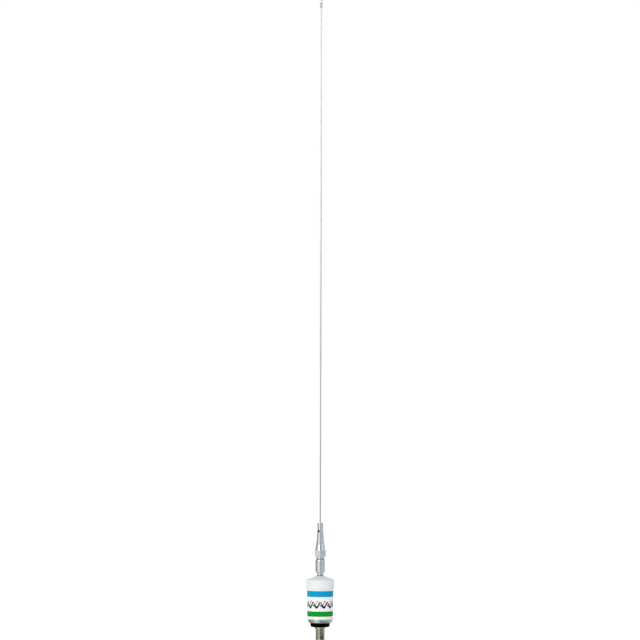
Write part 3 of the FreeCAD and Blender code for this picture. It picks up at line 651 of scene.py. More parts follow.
class Piece:
    """A finished mesh on its way to becoming an object of the scene."""

    def __init__(self, name: str, mesh: BMesh, finishes: Sequence[Finish], body: Body,
                 slot: str, replaces: Sequence[str] = (), sharp_degrees: float = 28.0) -> None:
        """Keep what the object is made from.

        Args:
            name: the piece's name.
            mesh: its mesh in millimetres, used up by make().
            finishes: its finishes, in the order of the faces' material numbers.
            body: the CAD body that it rides on.
            slot: name of a material slot; it is not used.
            replaces: the CAD nodes that it stands for.
            sharp_degrees: edges sharper than this aren't shaded smooth.
        """
        self.name = name
        self.mesh = mesh
        self.finishes = finishes
        self.body = body
        self.slot = slot
        self.replaces = replaces
        self.sharp_degrees = sharp_degrees

    def make(self, palette: Palette) -> bpy.types.Object:
        """Scale the mesh to metres and make the object.

        Args:
            palette: where the materials come from.

        Returns:
            The object, riding on its body.
        """
        bmesh.ops.scale(self.mesh, vec=(MM, MM, MM), verts=self.mesh.verts)
        data = bpy.data.meshes.new(self.name)
        self.mesh.to_mesh(data)
        self.mesh.free()
        shade(data, self.sharp_degrees)
        for finish in self.finishes:
            data.materials.append(palette.get(finish))
        made = bpy.data.objects.new(self.name, data)
        bpy.context.scene.collection.objects.link(made)
        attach(made, self.body.value)
        if self.replaces:
            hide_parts(*self.replaces)
        log.info("%s: %d faces on %s", self.name, len(data.polygons), self.body.value)
        return made


# ---------------------------------------------------------------- sub-assemblies

@dataclass
class Whip:
    """The stainless rod and the bead on its tip."""

    butt_radius: float = 1.3
    end_radius: float = 1.1
    straight: float = 40.0
    bead_cover: float = 8.0
    bead_fit: float = 0.02
    bead_lip: float = 0.38
    bead_taper: float = 1.2
    nose_round: float = 1.9
    rod_steps: int = 32

    def build_rod(self) -> BMesh:
        """The rod, straight where the ferrule holds it and tapering above.

        Returns:
            The mesh, in millimetres.
        """
        room = span("whip")
        return turned([
            Corner(0.0, room.bottom),
            Corner(self.butt_radius, room.bottom, 0.25, 3),
            Corner(self.butt_radius, room.bottom + self.straight),
            Corner(self.end_radius, room.top, 0.1, 2),
            Corner(0.0, room.top),
        ], self.rod_steps)

    def build_bead(self) -> BMesh:
        """The bead: a rounded nose, a straight body and a tapered mouth round the rod.

        Returns:
            The mesh, in millimetres.
        """
        room = span("whip_tip")
        bore = self.end_radius + self.bead_fit
        inner_top = room.bottom + self.bead_cover
        return turned([
            Corner(0.0, inner_top),
            Corner(bore, inner_top),
            Corner(bore, room.bottom),
            Corner(bore + self.bead_lip, room.bottom, 0.12, 3),
            Corner(room.radius, room.bottom + self.bead_taper, 0.5, 4),
            Corner(room.radius, room.top, self.nose_round, 10),
            Corner(0.0, room.top),
        ], 48)

    def build(self, palette: Palette) -> None:
        """Make both pieces.

        Args:
            palette: where the materials come from.
        """
        Piece("whip_rod", self.build_rod(), [DRAWN_STAINLESS], Body.WHIP, "drawn_stainless",
              ["whip"]).make(palette)
        Piece("whip_tip_bead", self.build_bead(), [CHROME_PLATE], Body.WHIP, "chrome_plate",
              ["whip_tip"]).make(palette)


@dataclass
class Ferrule:
    """The chromed ferrule with its hexagon, its set screw and the washer below it."""

    foot_radius: float = 6.6
    foot_height: float = 1.9
    hex_across: float = 18.3
    hex_height: float = 11.0
    hex_break: float = 0.9
    hex_break_rise: float = 0.54
    hex_corner_at: float = -90.0
    skirt_radius: float = 8.6
    waist_radius: float = 6.0
    waist_height: float = 30.9
    flare_height: float = 44.9
    barrel_radius: float = 5.0
    stud_bore: float = 4.85
    stud_depth: float = 16.9
    stud_sink: float = 0.5
    drill_point: float = 2.0
    whip_bore: float = 1.35
    whip_sink: float = 0.2
    whip_floor: float = 20.9
    screw_height: float = 44.3
    screw_radius: float = 2.0
    screw_bore: float = 2.05
    screw_length: float = 3.4
    screw_break: float = 0.2
    point_break: float = 0.4
    cup_radius: float = 1.0
    cup_depth: float = 0.35
    key_across: float = 2.0
    key_depth: float = 1.6
    key_sink: float = 0.12
    key_point: float = 0.45
    hole_start: float = 0.4
    hole_sink: float = 0.9
    washer_bore: float = 4.95
    washer_break: float = 0.22
    washer_rise: float = 0.3
    washer_gap: float = 10.0
    washer_gap_at: float = -40.0
    washer_steps: int = 90

    def build_ferrule(self) -> BMesh:
        """The ferrule, turned, then milled to its hexagon.

        Returns:
            The mesh, in millimetres.
        """
        room = span("ferrule")
        low = room.bottom
        hex_low = low + self.foot_height
        hex_high = hex_low + self.hex_height
        corner_radius = self.hex_across / math.sqrt(3.0)
        waist = Corner(self.waist_radius, low + self.waist_height)
        flare = Corner(self.barrel_radius, low + self.flare_height)
        rise = self.hex_break_rise
        breaks = [rise * quarter / 4.0 for quarter in range(5)]
        hex_rings = [hex_low + part for part in breaks] + [hex_high - part for part in reversed(breaks)]
        mesh = turned([
            Corner(0.0, low + self.stud_depth + self.drill_point),
            Corner(self.stud_bore, low + self.stud_depth),
            Corner(self.stud_bore, low + self.stud_sink),
            Corner(self.stud_bore + self.stud_sink, low),
            Corner(self.foot_radius, low, 0.2, 3),
            Corner(self.foot_radius, hex_low),
            *[Corner(corner_radius, height) for height in hex_rings],
            Corner(self.skirt_radius, hex_high, 0.15, 2),
            waist,
            *arc_corners(waist, flare, -0.25, 6),
            flare,
            Corner(self.barrel_radius, room.top, 0.5, 4),
            Corner(self.whip_bore + self.whip_sink, room.top),
            Corner(self.whip_bore, room.top - self.whip_sink),
            Corner(self.whip_bore, low + self.whip_floor),
            Corner(0.0, low + self.whip_floor),
        ], 120)
        for height in hex_rings:
            off_end = min(height - hex_low, hex_high - height) / rise
            most = corner_radius - self.hex_break * max(0.0, 1.0 - off_end)
            points = ring_at(mesh, height, self.skirt_radius + 0.3, corner_radius + 1.0)
            shape_hexagon(points, self.hex_across, math.radians(self.hex_corner_at), most)
        bmesh.ops.recalc_face_normals(mesh, faces=mesh.faces)
        return mesh

    def screw_direction(self) -> Vector:
        """The level direction from the axis to the set screw.

        Returns:
            The direction, one long.
        """
        room = span("set_screw")
        middle = (room.low + room.high) / 2.0
        return Vector((middle.x, middle.y, 0.0)).normalized()

    def screw_frame(self, start: float) -> Matrix:
        """The place of a piece drawn up the Z axis, so that it lies in the set screw's hole.

        Args:
            start: how far from the antenna's axis its lower end is.

        Returns:
            The matrix.
        """
        way = self.screw_direction()
        level = span("ferrule").bottom + self.screw_height
        turn = Vector((0, 0, 1)).rotation_difference(way).to_matrix().to_4x4()
        return Matrix.Translation(way * start + Vector((0, 0, level))) @ turn

    def build_screw(self) -> BMesh:
        """The set screw, with a cup point inside and a hexagon socket outside.

        Returns:
            The mesh, in millimetres.
        """
        length = self.screw_length
        key_radius = self.key_across / math.sqrt(3.0)
        floor = length - self.key_depth
        mesh = turned([
            Corner(0.0, self.cup_depth),
            Corner(self.cup_radius, 0.0, 0.1, 2),
            Corner(self.screw_radius - self.point_break, 0.0),
            Corner(self.screw_radius, self.point_break),
            Corner(self.screw_radius, length - self.screw_break),
            Corner(self.screw_radius - self.screw_break, length),
            Corner(key_radius + self.key_sink, length),
            Corner(key_radius, length - self.key_sink),
            Corner(key_radius, floor),
            Corner(0.0, floor - self.key_point),
        ], 48)
        for height in (length - self.key_sink, floor):
            points = ring_at(mesh, height, key_radius / 2.0, key_radius + 0.05)
            shape_hexagon(points, self.key_across, 0.0, key_radius)
        bmesh.ops.recalc_face_normals(mesh, faces=mesh.faces)
        bmesh.ops.transform(mesh, matrix=self.screw_frame(self.screw_start()), verts=mesh.verts)
        return mesh

    def screw_start(self) -> float:
        """How far the screw's point is from the antenna's axis.

        The screw's box is level and the screw lies across it, so the box's far corner stands out
        past the screw's outer end by a part of its width.

        Returns:
            The distance in millimetres.
        """
        room = span("set_screw")
        way = self.screw_direction()
        corners = [Vector((x, y, 0.0))
                   for x in (room.low.x, room.high.x) for y in (room.low.y, room.high.y)]
        reach = max(corner.dot(way) for corner in corners)
        side = self.screw_radius * 2.0 * abs(way.x * way.y)
        return reach - side - self.screw_length

    def build_hole_cutter(self) -> BMesh:
        """A drill for the set screw's hole, with a small countersink at the mouth.

        Returns:
            The mesh, in millimetres.
        """
        mouth = math.sqrt(self.barrel_radius ** 2 - self.screw_bore ** 2) - 0.05
        mesh = turned([
            Corner(0.0, 0.0),
            Corner(self.screw_bore, 0.0),
            Corner(self.screw_bore, mouth),
            Corner(self.screw_bore + self.hole_sink, mouth + self.hole_sink),
            Corner(self.screw_bore + self.hole_sink, mouth + 2.0),
            Corner(0.0, mouth + 2.0),
        ], 64)
        bmesh.ops.transform(mesh, matrix=self.screw_frame(self.hole_start), verts=mesh.verts)
        return mesh

    def build_washer(self) -> BMesh:
        """The split spring washer: a square wire bent nearly once round, one end a little higher.

        Returns:
            The mesh, in millimetres.
        """
        room = span("lock_washer")
        mesh = bmesh.new()
        width = room.radius - self.washer_bore
        height = room.top - room.bottom - self.washer_rise
        middle = Vector((room.radius - width / 2.0, 0.0, room.bottom + height / 2.0))
        bmesh.ops.create_grid(mesh, x_segments=1, y_segments=1, size=0.5)
        stand = Matrix.Translation(middle) @ Matrix.Rotation(math.pi / 2.0, 4, "X")
        size = Matrix.Diagonal((width, height, 1.0, 1.0))
        bmesh.ops.transform(mesh, matrix=stand @ size, verts=mesh.verts)
        bmesh.ops.bevel(mesh, geom=mesh.verts[:], offset=self.washer_break, offset_type="OFFSET",
                        segments=3, profile=0.5, affect="VERTICES", material=-1)
        gap = math.radians(self.washer_gap)
        turn = Matrix.Rotation(math.radians(self.washer_gap_at) + gap / 2.0, 3, "Z")
        bmesh.ops.rotate(mesh, cent=(0, 0, 0), matrix=turn, verts=mesh.verts)
        copy = bmesh.ops.duplicate(mesh, geom=mesh.faces[:])["geom"]
        moving = [item for item in copy if isinstance(item, bmesh.types.BMFace)]
        bmesh.ops.spin(mesh, geom=moving, cent=(0, 0, 0), axis=(0, 0, 1),
                       dvec=(0, 0, self.washer_rise / self.washer_steps), angle=FULL_TURN - gap,
                       steps=self.washer_steps, use_merge=False)
        bmesh.ops.remove_doubles(mesh, verts=mesh.verts, dist=MERGE_MM)
        bmesh.ops.recalc_face_normals(mesh, faces=mesh.faces)
        return mesh

    def build(self, palette: Palette) -> None:
        """Make the ferrule, its screw and its washer.

        Args:
            palette: where the materials come from.
        """
        ferrule = Piece("ferrule_chromed", self.build_ferrule(), [CHROME_PLATE], Body.FERRULE,
                        "chrome_plate", ["ferrule"]).make(palette)
        cut_away(ferrule, self.build_hole_cutter(), sharp_degrees=28.0)
        Piece("ferrule_set_screw", self.build_screw(), [BLACK_OXIDE], Body.SET_SCREW, "screw_steel",
              ["set_screw"]).make(palette)
        Piece("split_lock_washer", self.build_washer(), [SPRING_STEEL], Body.LOCK_WASHER, "spring_steel",
              ["lock_washer"]).make(palette)


@dataclass
class Coupling:
    """The stud, the chromed cylinder round it and the seal on the cap's crown."""

    stud_thread: Thread = Thread(3.0 / 16.0 * INCH, INCH / 24.0, 0.62)
    stud_lead_in: float = 0.7
    neck_radius: float = 5.75
    neck_height: float = 4.4
    foot_radius: float = 6.9
    foot_rise: float = 1.5
    shoulder_radius: float = 7.3
    shoulder_drop: float = 1.6
    bore: float = 4.85
    bore_break: float = 0.3
    seal_bore: float = 4.9

    def build_stud(self) -> BMesh:
        """The stud: a helical thread from end to end, closed by flat ends.

        Returns:
            The mesh, in millimetres.
        """
        room = span("stud")
        mesh = self.stud_thread.skin(room.bottom, room.top, self.stud_lead_in, 48)
        for height in (room.bottom, room.top):
            bmesh.ops.holes_fill(mesh, edges=open_edges(mesh, height), sides=0)
        bmesh.ops.recalc_face_normals(mesh, faces=mesh.faces)
        return mesh

    def build_cylinder(self) -> BMesh:
        """The cylinder, with a coned foot above its neck and a broken shoulder.

        Returns:
            The mesh, in millimetres.
        """
        room = span("coupling")
        low, high = room.bottom, room.top
        return turned([
            Corner(self.bore, low),
            Corner(self.neck_radius, low, 0.3, 3),
            Corner(self.neck_radius, low + self.neck_height, 0.2, 2),
            Corner(self.foot_radius, low + self.neck_height, 0.15, 2),
            Corner(room.radius, low + self.neck_height + self.foot_rise, 0.4, 4),
            Corner(room.radius, high - self.shoulder_drop, 0.5, 4),
            Corner(self.shoulder_radius, high, 0.2, 3),
            Corner(self.bore + self.bore_break, high),
            Corner(self.bore, high - self.bore_break),
        ], 120)

    def build_seal(self) -> BMesh:
        """The rubber washer, bulged a little where it is squeezed.

        Returns:
            The mesh, in millimetres.
        """
        room = span("stud_seal")
        return turned([
            Corner(self.seal_bore, room.bottom),
            Corner(room.radius, room.bottom, 0.3, 4),
            Corner(room.radius, room.top, 0.3, 4),
            Corner(self.seal_bore, room.top),
        ], 72)

    def build(self, palette: Palette) -> None:
        """Make the three pieces.

        Args:
            palette: where the materials come from.
        """
        Piece("threaded_stud", self.build_stud(), [THREADED_STEEL], Body.BASE, "stud_steel",
              ["stud"]).make(palette)
        Piece("coupling_chromed", self.build_cylinder(), [CHROME_PLATE], Body.BASE, "chrome_plate",
              ["coupling"]).make(palette)
        Piece("crown_seal", self.build_seal(), [MOULDED_RUBBER], Body.BASE, "black_rubber",
              ["stud_seal"]).make(palette)


@dataclass
class Housing:
    """The domed cap, the sleeve below it and the printed band."""

    lip_height: float = 1.6
    side_radius: float = 23.35
    bore_radius: float = 22.1
    shoulder_height: float = 16.0
    crown_flat: float = 7.7
    dome_bulge: float = 0.68
    shoulder_round: float = 3.6
    ceiling_height: float = 18.3
    ceiling_radius: float = 13.0
    ledge_radius: float = 19.5
    ledge_height: float = 11.8
    inner_height: float = 15.0
    stud_hole: float = 4.9
    lip_slope: float = 0.5
    film: float = 0.15
    film_gap: float = 0.01
    sleeve_bore: float = 19.3
    sleeve_low: float = 21.07
    sleeve_high: float = 22.0
    blue: tuple[float, float] = (53.5, 63.5)
    green: tuple[float, float] = (21.1, 29.7)
    wave_count: int = 11
    wave_height: float = 41.5
    wave_swing: float = 4.2
    wave_lean: float = 0.35
    wave_widening: float = 0.35
    ink_lift: float = 0.015
    ink_depth: float = 0.012

    def build_cap(self) -> BMesh:
        """The cap, with its lip, rounded shoulder, dome and flat crown.

        Returns:
            The mesh, in millimetres.
        """
        room = span("top_cap")
        low = room.bottom
        shoulder = Corner(self.side_radius, low + self.shoulder_height, self.shoulder_round, 12)
        crown = Corner(self.crown_flat, room.top, 0.3, 2)
        dome = [corner for corner in arc_corners(shoulder, crown, self.dome_bulge, 9)
                if math.hypot(corner.radius - shoulder.radius, corner.height - shoulder.height)
                > self.shoulder_round * 1.1]
        return turned([
            Corner(self.bore_radius, low),
            Corner(room.radius, low, 0.25, 3),
            Corner(room.radius, low + self.lip_height, 0.35, 3),
            Corner(self.side_radius, low + self.lip_height + self.lip_slope, 0.3, 3),
            shoulder,
            *dome,
            crown,
            Corner(self.stud_hole, room.top),
            Corner(self.stud_hole, low + self.ceiling_height),
            Corner(self.ceiling_radius, low + self.ceiling_height),
            Corner(self.ledge_radius, low + self.inner_height, 1.0, 3),
            Corner(self.ledge_radius, low + self.ledge_height),
            Corner(self.bore_radius, low + self.ledge_height),
        ], 144)

    def sleeve_radius(self, height: float) -> float:
        """The sleeve's outer radius at a height.

        Args:
            height: the height in millimetres.

        Returns:
            The radius in millimetres.
        """
        room = span("housing_sleeve")
        part = (height - room.bottom) / (room.top - room.bottom)
        return self.sleeve_low + (self.sleeve_high - self.sleeve_low) * part

    def build_sleeve(self) -> BMesh:
        """The sleeve, a tube that widens upwards.

        Returns:
            The mesh, in millimetres.
        """
        room = span("housing_sleeve")
        return turned([
            Corner(self.sleeve_bore, room.bottom),
            Corner(self.sleeve_low, room.bottom, 0.4, 3),
            Corner(self.sleeve_high, room.top, 0.3, 2),
            Corner(self.sleeve_bore, room.top),
        ], 144)

    def build_film(self) -> BMesh:
        """The film: a thin tube whose faces are white, blue or green by height.

        Returns:
            The mesh, in millimetres.
        """
        room = span("label_band")
        heights = [room.bottom, *self.green, *self.blue, room.top]
        outer = [Corner(self.sleeve_radius(height) + self.film, height) for height in heights]
        inner = [Corner(self.sleeve_radius(height) + self.film_gap, height)
                 for height in (room.top, room.bottom)]
        mesh = turned(outer + inner, 144)
        for face in mesh.faces:
            middle = face.calc_center_median()
            outside = middle.xy.length > self.sleeve_radius(middle.z) + self.film * 0.8
            if outside and self.blue[0] < middle.z < self.blue[1]:
                face.material_index = 1
            elif outside and self.green[0] < middle.z < self.green[1]:
                face.material_index = 2
        return mesh

    def build_ribbon(self, level: float, swing: float, thick: float, thin: float, phase: float) -> BMesh:
        """A printed wave line round the band: a flat strip that swings up and down.

        Args:
            level: middle height of the line.
            swing: how far it swings each way.
            thick: width in the troughs.
            thin: width on the crests.
            phase: where the waves start, in radians.

        Returns:
            The mesh, a closed ring with a little thickness.
        """
        mesh = bmesh.new()
        steps = self.wave_count * 24
        steepest = swing * self.wave_count / self.sleeve_radius(level)
        bmesh.ops.create_circle(mesh, cap_ends=False, segments=steps, radius=1.0)
        ring = mesh.edges[:]
        made = bmesh.ops.extrude_edge_only(mesh, edges=ring)["geom"]
        upper = {item for item in made if isinstance(item, BMVert)}
        for point in mesh.verts:
            angle = math.atan2(point.co.y, point.co.x)
            wave = math.sin(self.wave_count * angle + phase)
            climb = math.cos(self.wave_count * angle + phase)
            lean = self.wave_lean * climb / self.wave_count
            slope = steepest * climb
            width = thin + (thick - thin) * (0.5 - 0.5 * wave)
            width *= math.sqrt(1.0 + self.wave_widening * slope * slope)
            side = 0.5 if point in upper else -0.5
            height = level + swing * wave + side * width
            radius = self.sleeve_radius(height) + self.film + self.ink_lift
            point.co = Vector((radius * math.cos(angle + lean), radius * math.sin(angle + lean), height))
        bmesh.ops.recalc_face_normals(mesh, faces=mesh.faces)
        inward = [face for face in mesh.faces if face.normal.dot(face.calc_center_median()) < 0.0]
        bmesh.ops.reverse_faces(mesh, faces=inward)
        bmesh.ops.solidify(mesh, geom=mesh.faces[:], thickness=self.ink_depth)
        bmesh.ops.recalc_face_normals(mesh, faces=mesh.faces)
        return mesh

    def build(self, palette: Palette) -> None:
        """Make the cap, the sleeve, the film and its printed waves.

        Args:
            palette: where the materials come from.
        """
        Piece("housing_cap", self.build_cap(), [MOULDED_ASA], Body.BASE, "white_housing",
              ["top_cap"]).make(palette)
        Piece("housing_tube", self.build_sleeve(), [MOULDED_ASA], Body.BASE, "white_housing",
              ["housing_sleeve"]).make(palette)
        Piece("label_film", self.build_film(), [VINYL_FILM, BLUE_INK, GREEN_INK], Body.BASE,
              "label_film", ["label_band"]).make(palette)
        lines = (
            ("label_wave_broad", -0.8, self.wave_swing, 3.8, 2.0, 0.0),
            ("label_wave_fine", 1.2, self.wave_swing, 1.7, 1.1, 2.1),
        )
        for name, above, swing, thick, thin, phase in lines:
            ribbon = self.build_ribbon(self.wave_height + above, swing, thick, thin, phase)
            Piece(name, ribbon, [BLACK_INK], Body.BASE, "label_film").make(palette)


@dataclass
class Base:
    """The metal base, the rubber pad and the clamp ring."""

    rim_band: float = 0.8
    rim_low: float = 20.3
    rim_round: float = 2.2
    rim_height: float = 6.0
    recess_radius: float = 14.6
    recess_depth: float = 2.5
    spigot_radius: float = 19.2
    groove_radius: float = 17.4
    groove: tuple[float, float] = (7.8, 10.2)
    well_radius: float = 15.0
    floor: float = 9.8
    bore: float = 6.5
    pad_bore: float = 8.1
    pad_foot: float = 13.4
    pad_round: float = 2.2
    pad_band: float = 1.2
    ring_bore: float = 8.05

    def build_plug(self) -> BMesh:
        """The base: a rim rounded at its foot, a spigot with its seal's groove, and a well inside.

        Returns:
            The mesh, in millimetres.
        """
        room = span("base_plug")
        low, high = room.bottom, room.top
        seam = low + self.rim_height
        return turned([
            Corner(self.recess_radius, low),
            Corner(self.rim_low, low, self.rim_round, 8),
            Corner(room.radius, seam - self.rim_band, 0.4, 4),
            Corner(room.radius, seam, 0.2, 2),
            Corner(self.spigot_radius, seam),
            Corner(self.spigot_radius, low + self.groove[0]),
            Corner(self.groove_radius, low + self.groove[0]),
            Corner(self.groove_radius, low + self.groove[1]),
            Corner(self.spigot_radius, low + self.groove[1]),
            Corner(self.spigot_radius, high, 0.5, 3),
            Corner(self.well_radius, high),
            Corner(self.well_radius, low + self.floor),
            Corner(self.bore, low + self.floor),
            Corner(self.bore, low + self.recess_depth),
            Corner(self.recess_radius, low + self.recess_depth),
        ], 144)

    def build_pad(self) -> BMesh:
        """The rubber pad, tapering down to a rounded foot.

        Returns:
            The mesh, in millimetres.
        """
        room = span("seat_gasket")
        low, high = room.bottom, room.top
        flank = self.pad_foot + self.pad_round * 0.9
        return turned([
            Corner(self.pad_bore, low),
            Corner(flank, low, self.pad_round, 8),
            Corner(room.radius, high - self.pad_band, 0.4, 3),
            Corner(room.radius, high, 0.3, 3),
            Corner(self.pad_bore, high),
        ], 120)

    def build_ring(self) -> BMesh:
        """The clamp ring, turned with broken edges.

        Returns:
            The mesh, in millimetres.
        """
        room = span("clamp_ring")
        return turned([
            Corner(self.ring_bore, room.bottom, 0.15, 2),
            Corner(room.radius, room.bottom, 0.3, 4),
            Corner(room.radius, room.top, 0.3, 4),
            Corner(self.ring_bore, room.top, 0.15, 2),
        ], 96)

    def build(self, palette: Palette) -> None:
        """Make the three pieces.

        Args:
            palette: where the materials come from.
        """
        Piece("base_plug_turned", self.build_plug(), [TURNED_ALUMINIUM], Body.BASE, "grey_base",
              ["base_plug"]).make(palette)
        Piece("rubber_pad", self.build_pad(), [MOULDED_RUBBER], Body.BASE, "black_rubber",
              ["seat_gasket"]).make(palette)
        Piece("clamp_ring_plated", self.build_ring(), [NICKEL_PLATE], Body.BASE, "nickel_plate",
              ["clamp_ring"]).make(palette)


@dataclass
class Connector:
    """The threaded shell, its insulator and its centre contact."""

    thread: Thread = Thread(5.0 / 16.0 * INCH, INCH / 24.0, 0.65)
    lead_in: float = 0.7
    mouth_radius: float = 6.15
    mouth_depth: float = 8.0
    mouth_break: float = 0.3
    web: float = 1.5
    web_bore: float = 4.45
    rear_bore: float = 5.6
    flange_thickness: float = 2.5
    relief_radius: float = 7.2
    relief_width: float = 1.2
    ring_gap: float = 0.01
    notch_width: float = 1.5
    notch_depth: float = 1.2
    notch_overlap: float = 0.5
    boss_radius: float = 4.4
    contact_radius: float = 2.6
    contact_fit: float = 0.05

    def build_shell(self) -> BMesh:
        """The shell: a helical thread outside, stepped bores inside and a flange on top.

        Returns:
            The mesh, in millimetres.
        """
        room = span("connector_shell")
        mouth = room.bottom
        under_flange = room.top - self.flange_thickness
        mesh = self.thread.skin(mouth, 0.0, self.lead_in, 72)
        root = self.thread.radius - self.thread.depth
        add_turned_skin(mesh, [
            Corner(root - self.ring_gap, 0.0),
            Corner(self.relief_radius, 0.0),
            Corner(self.relief_radius, self.relief_width),
            Corner(self.thread.radius, self.relief_width),
            Corner(self.thread.radius, under_flange),
            Corner(room.radius, under_flange),
            Corner(room.radius, room.top, 0.2, 2),
            Corner(self.rear_bore, room.top),
            Corner(self.rear_bore, mouth + self.mouth_depth + self.web),
            Corner(self.web_bore, mouth + self.mouth_depth + self.web),
            Corner(self.web_bore, mouth + self.mouth_depth),
            Corner(self.mouth_radius, mouth + self.mouth_depth),
            Corner(self.mouth_radius, mouth + self.mouth_break),
            Corner(self.mouth_radius + self.mouth_break, mouth),
        ], 72)
        join_rings(mesh, 0.0)
        join_rings(mesh, mouth)
        bmesh.ops.recalc_face_normals(mesh, faces=mesh.faces)
        return mesh

    def build_insulator(self) -> BMesh:
        """The insulator, with a boss round the contact.

        Returns:
            The mesh, in millimetres.
        """
        room = span("connector_insulator")
        shoulder = span("connector_shell").bottom + self.mouth_depth + self.web
        bore = self.contact_radius + self.contact_fit
        return turned([
            Corner(bore, room.bottom, 0.15, 2),
            Corner(self.boss_radius, room.bottom, 0.4, 4),
            Corner(self.boss_radius, shoulder),
            Corner(room.radius, shoulder),
            Corner(room.radius, room.top),
            Corner(bore, room.top),
        ], 72)

    def build_notch_cutter(self) -> BMesh:
        """Four short bars, which cut the notches in the shell's rim.

        Returns:
            The mesh, in millimetres.
        """
        mesh = bmesh.new()
        mouth = span("connector_shell").bottom
        start = self.mouth_radius - self.notch_overlap
        reach = self.thread.radius + 1.0
        size = Matrix.Diagonal((reach - start, self.notch_width, self.notch_depth * 2.0, 1.0))
        for quarter in range(4):
            turn = Matrix.Rotation(quarter * math.pi / 2.0, 4, "Z")
            place = turn @ Matrix.Translation(((start + reach) / 2.0, 0.0, mouth))
            bmesh.ops.create_cube(mesh, size=1.0, matrix=place @ size)
        return mesh

    def build(self, palette: Palette) -> None:
        """Make the shell and its insulator; the centre contact is one of the Insides.

        Args:
            palette: where the materials come from.
        """
        shell = Piece("connector_threaded_shell", self.build_shell(), [NICKEL_PLATE], Body.BASE,
                      "nickel_plate", ["connector_shell"], sharp_degrees=35.0).make(palette)
        cut_away(shell, self.build_notch_cutter(), sharp_degrees=35.0)
        Piece("connector_dielectric", self.build_insulator(), [TURNED_PTFE], Body.BASE, "ptfe",
              ["connector_insulator"]).make(palette)


class Insides:
    """The CAD nodes that stay as they are: those inside, which only get a finish."""

    finishes: dict[str, Finish] = {
        "centre_contact": GOLD_FLASH,
        "flange_screws": SPRING_STEEL,
        "form_screws": SPRING_STEEL,
        "ground_screw": SPRING_STEEL,
        "terminal_washer": SPRING_STEEL,
        "terminal_star_washer": SPRING_STEEL,
        "base_o_ring": MOULDED_RUBBER,
        "coil_form": GLASS_RESIN,
        "loading_coil": DRAWN_COPPER,
        "feed_lead": DRAWN_COPPER,
        "ground_lug": TINNED_BRASS,
        "terminal_lug": TINNED_BRASS,
        "terminal_nut": TURNED_BRASS,
    }

    def build(self, palette: Palette) -> None:
        """Give each node's own object its finish.

        Args:
            palette: where the materials come from.
        """
        for node, finish in self.finishes.items():
            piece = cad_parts[node]
            piece.data.materials.clear()
            piece.data.materials.append(palette.get(finish))
            log.info("%s: CAD node finished as %s", node, finish.name)


# ---------------------------------------------------------------- studio

@dataclass(frozen=True)
class Panel:
    """A square soft light, placed from the antenna's middle."""

    name: str
    offset: tuple[float, float, float]
    size: float
    power: float


@dataclass(frozen=True)
class Card:
    """An upright dark card: its direction in degrees, right of the front, and its place in metres."""

    name: str
    direction: float
    away: float
    width: float
    bottom: float
    top: float


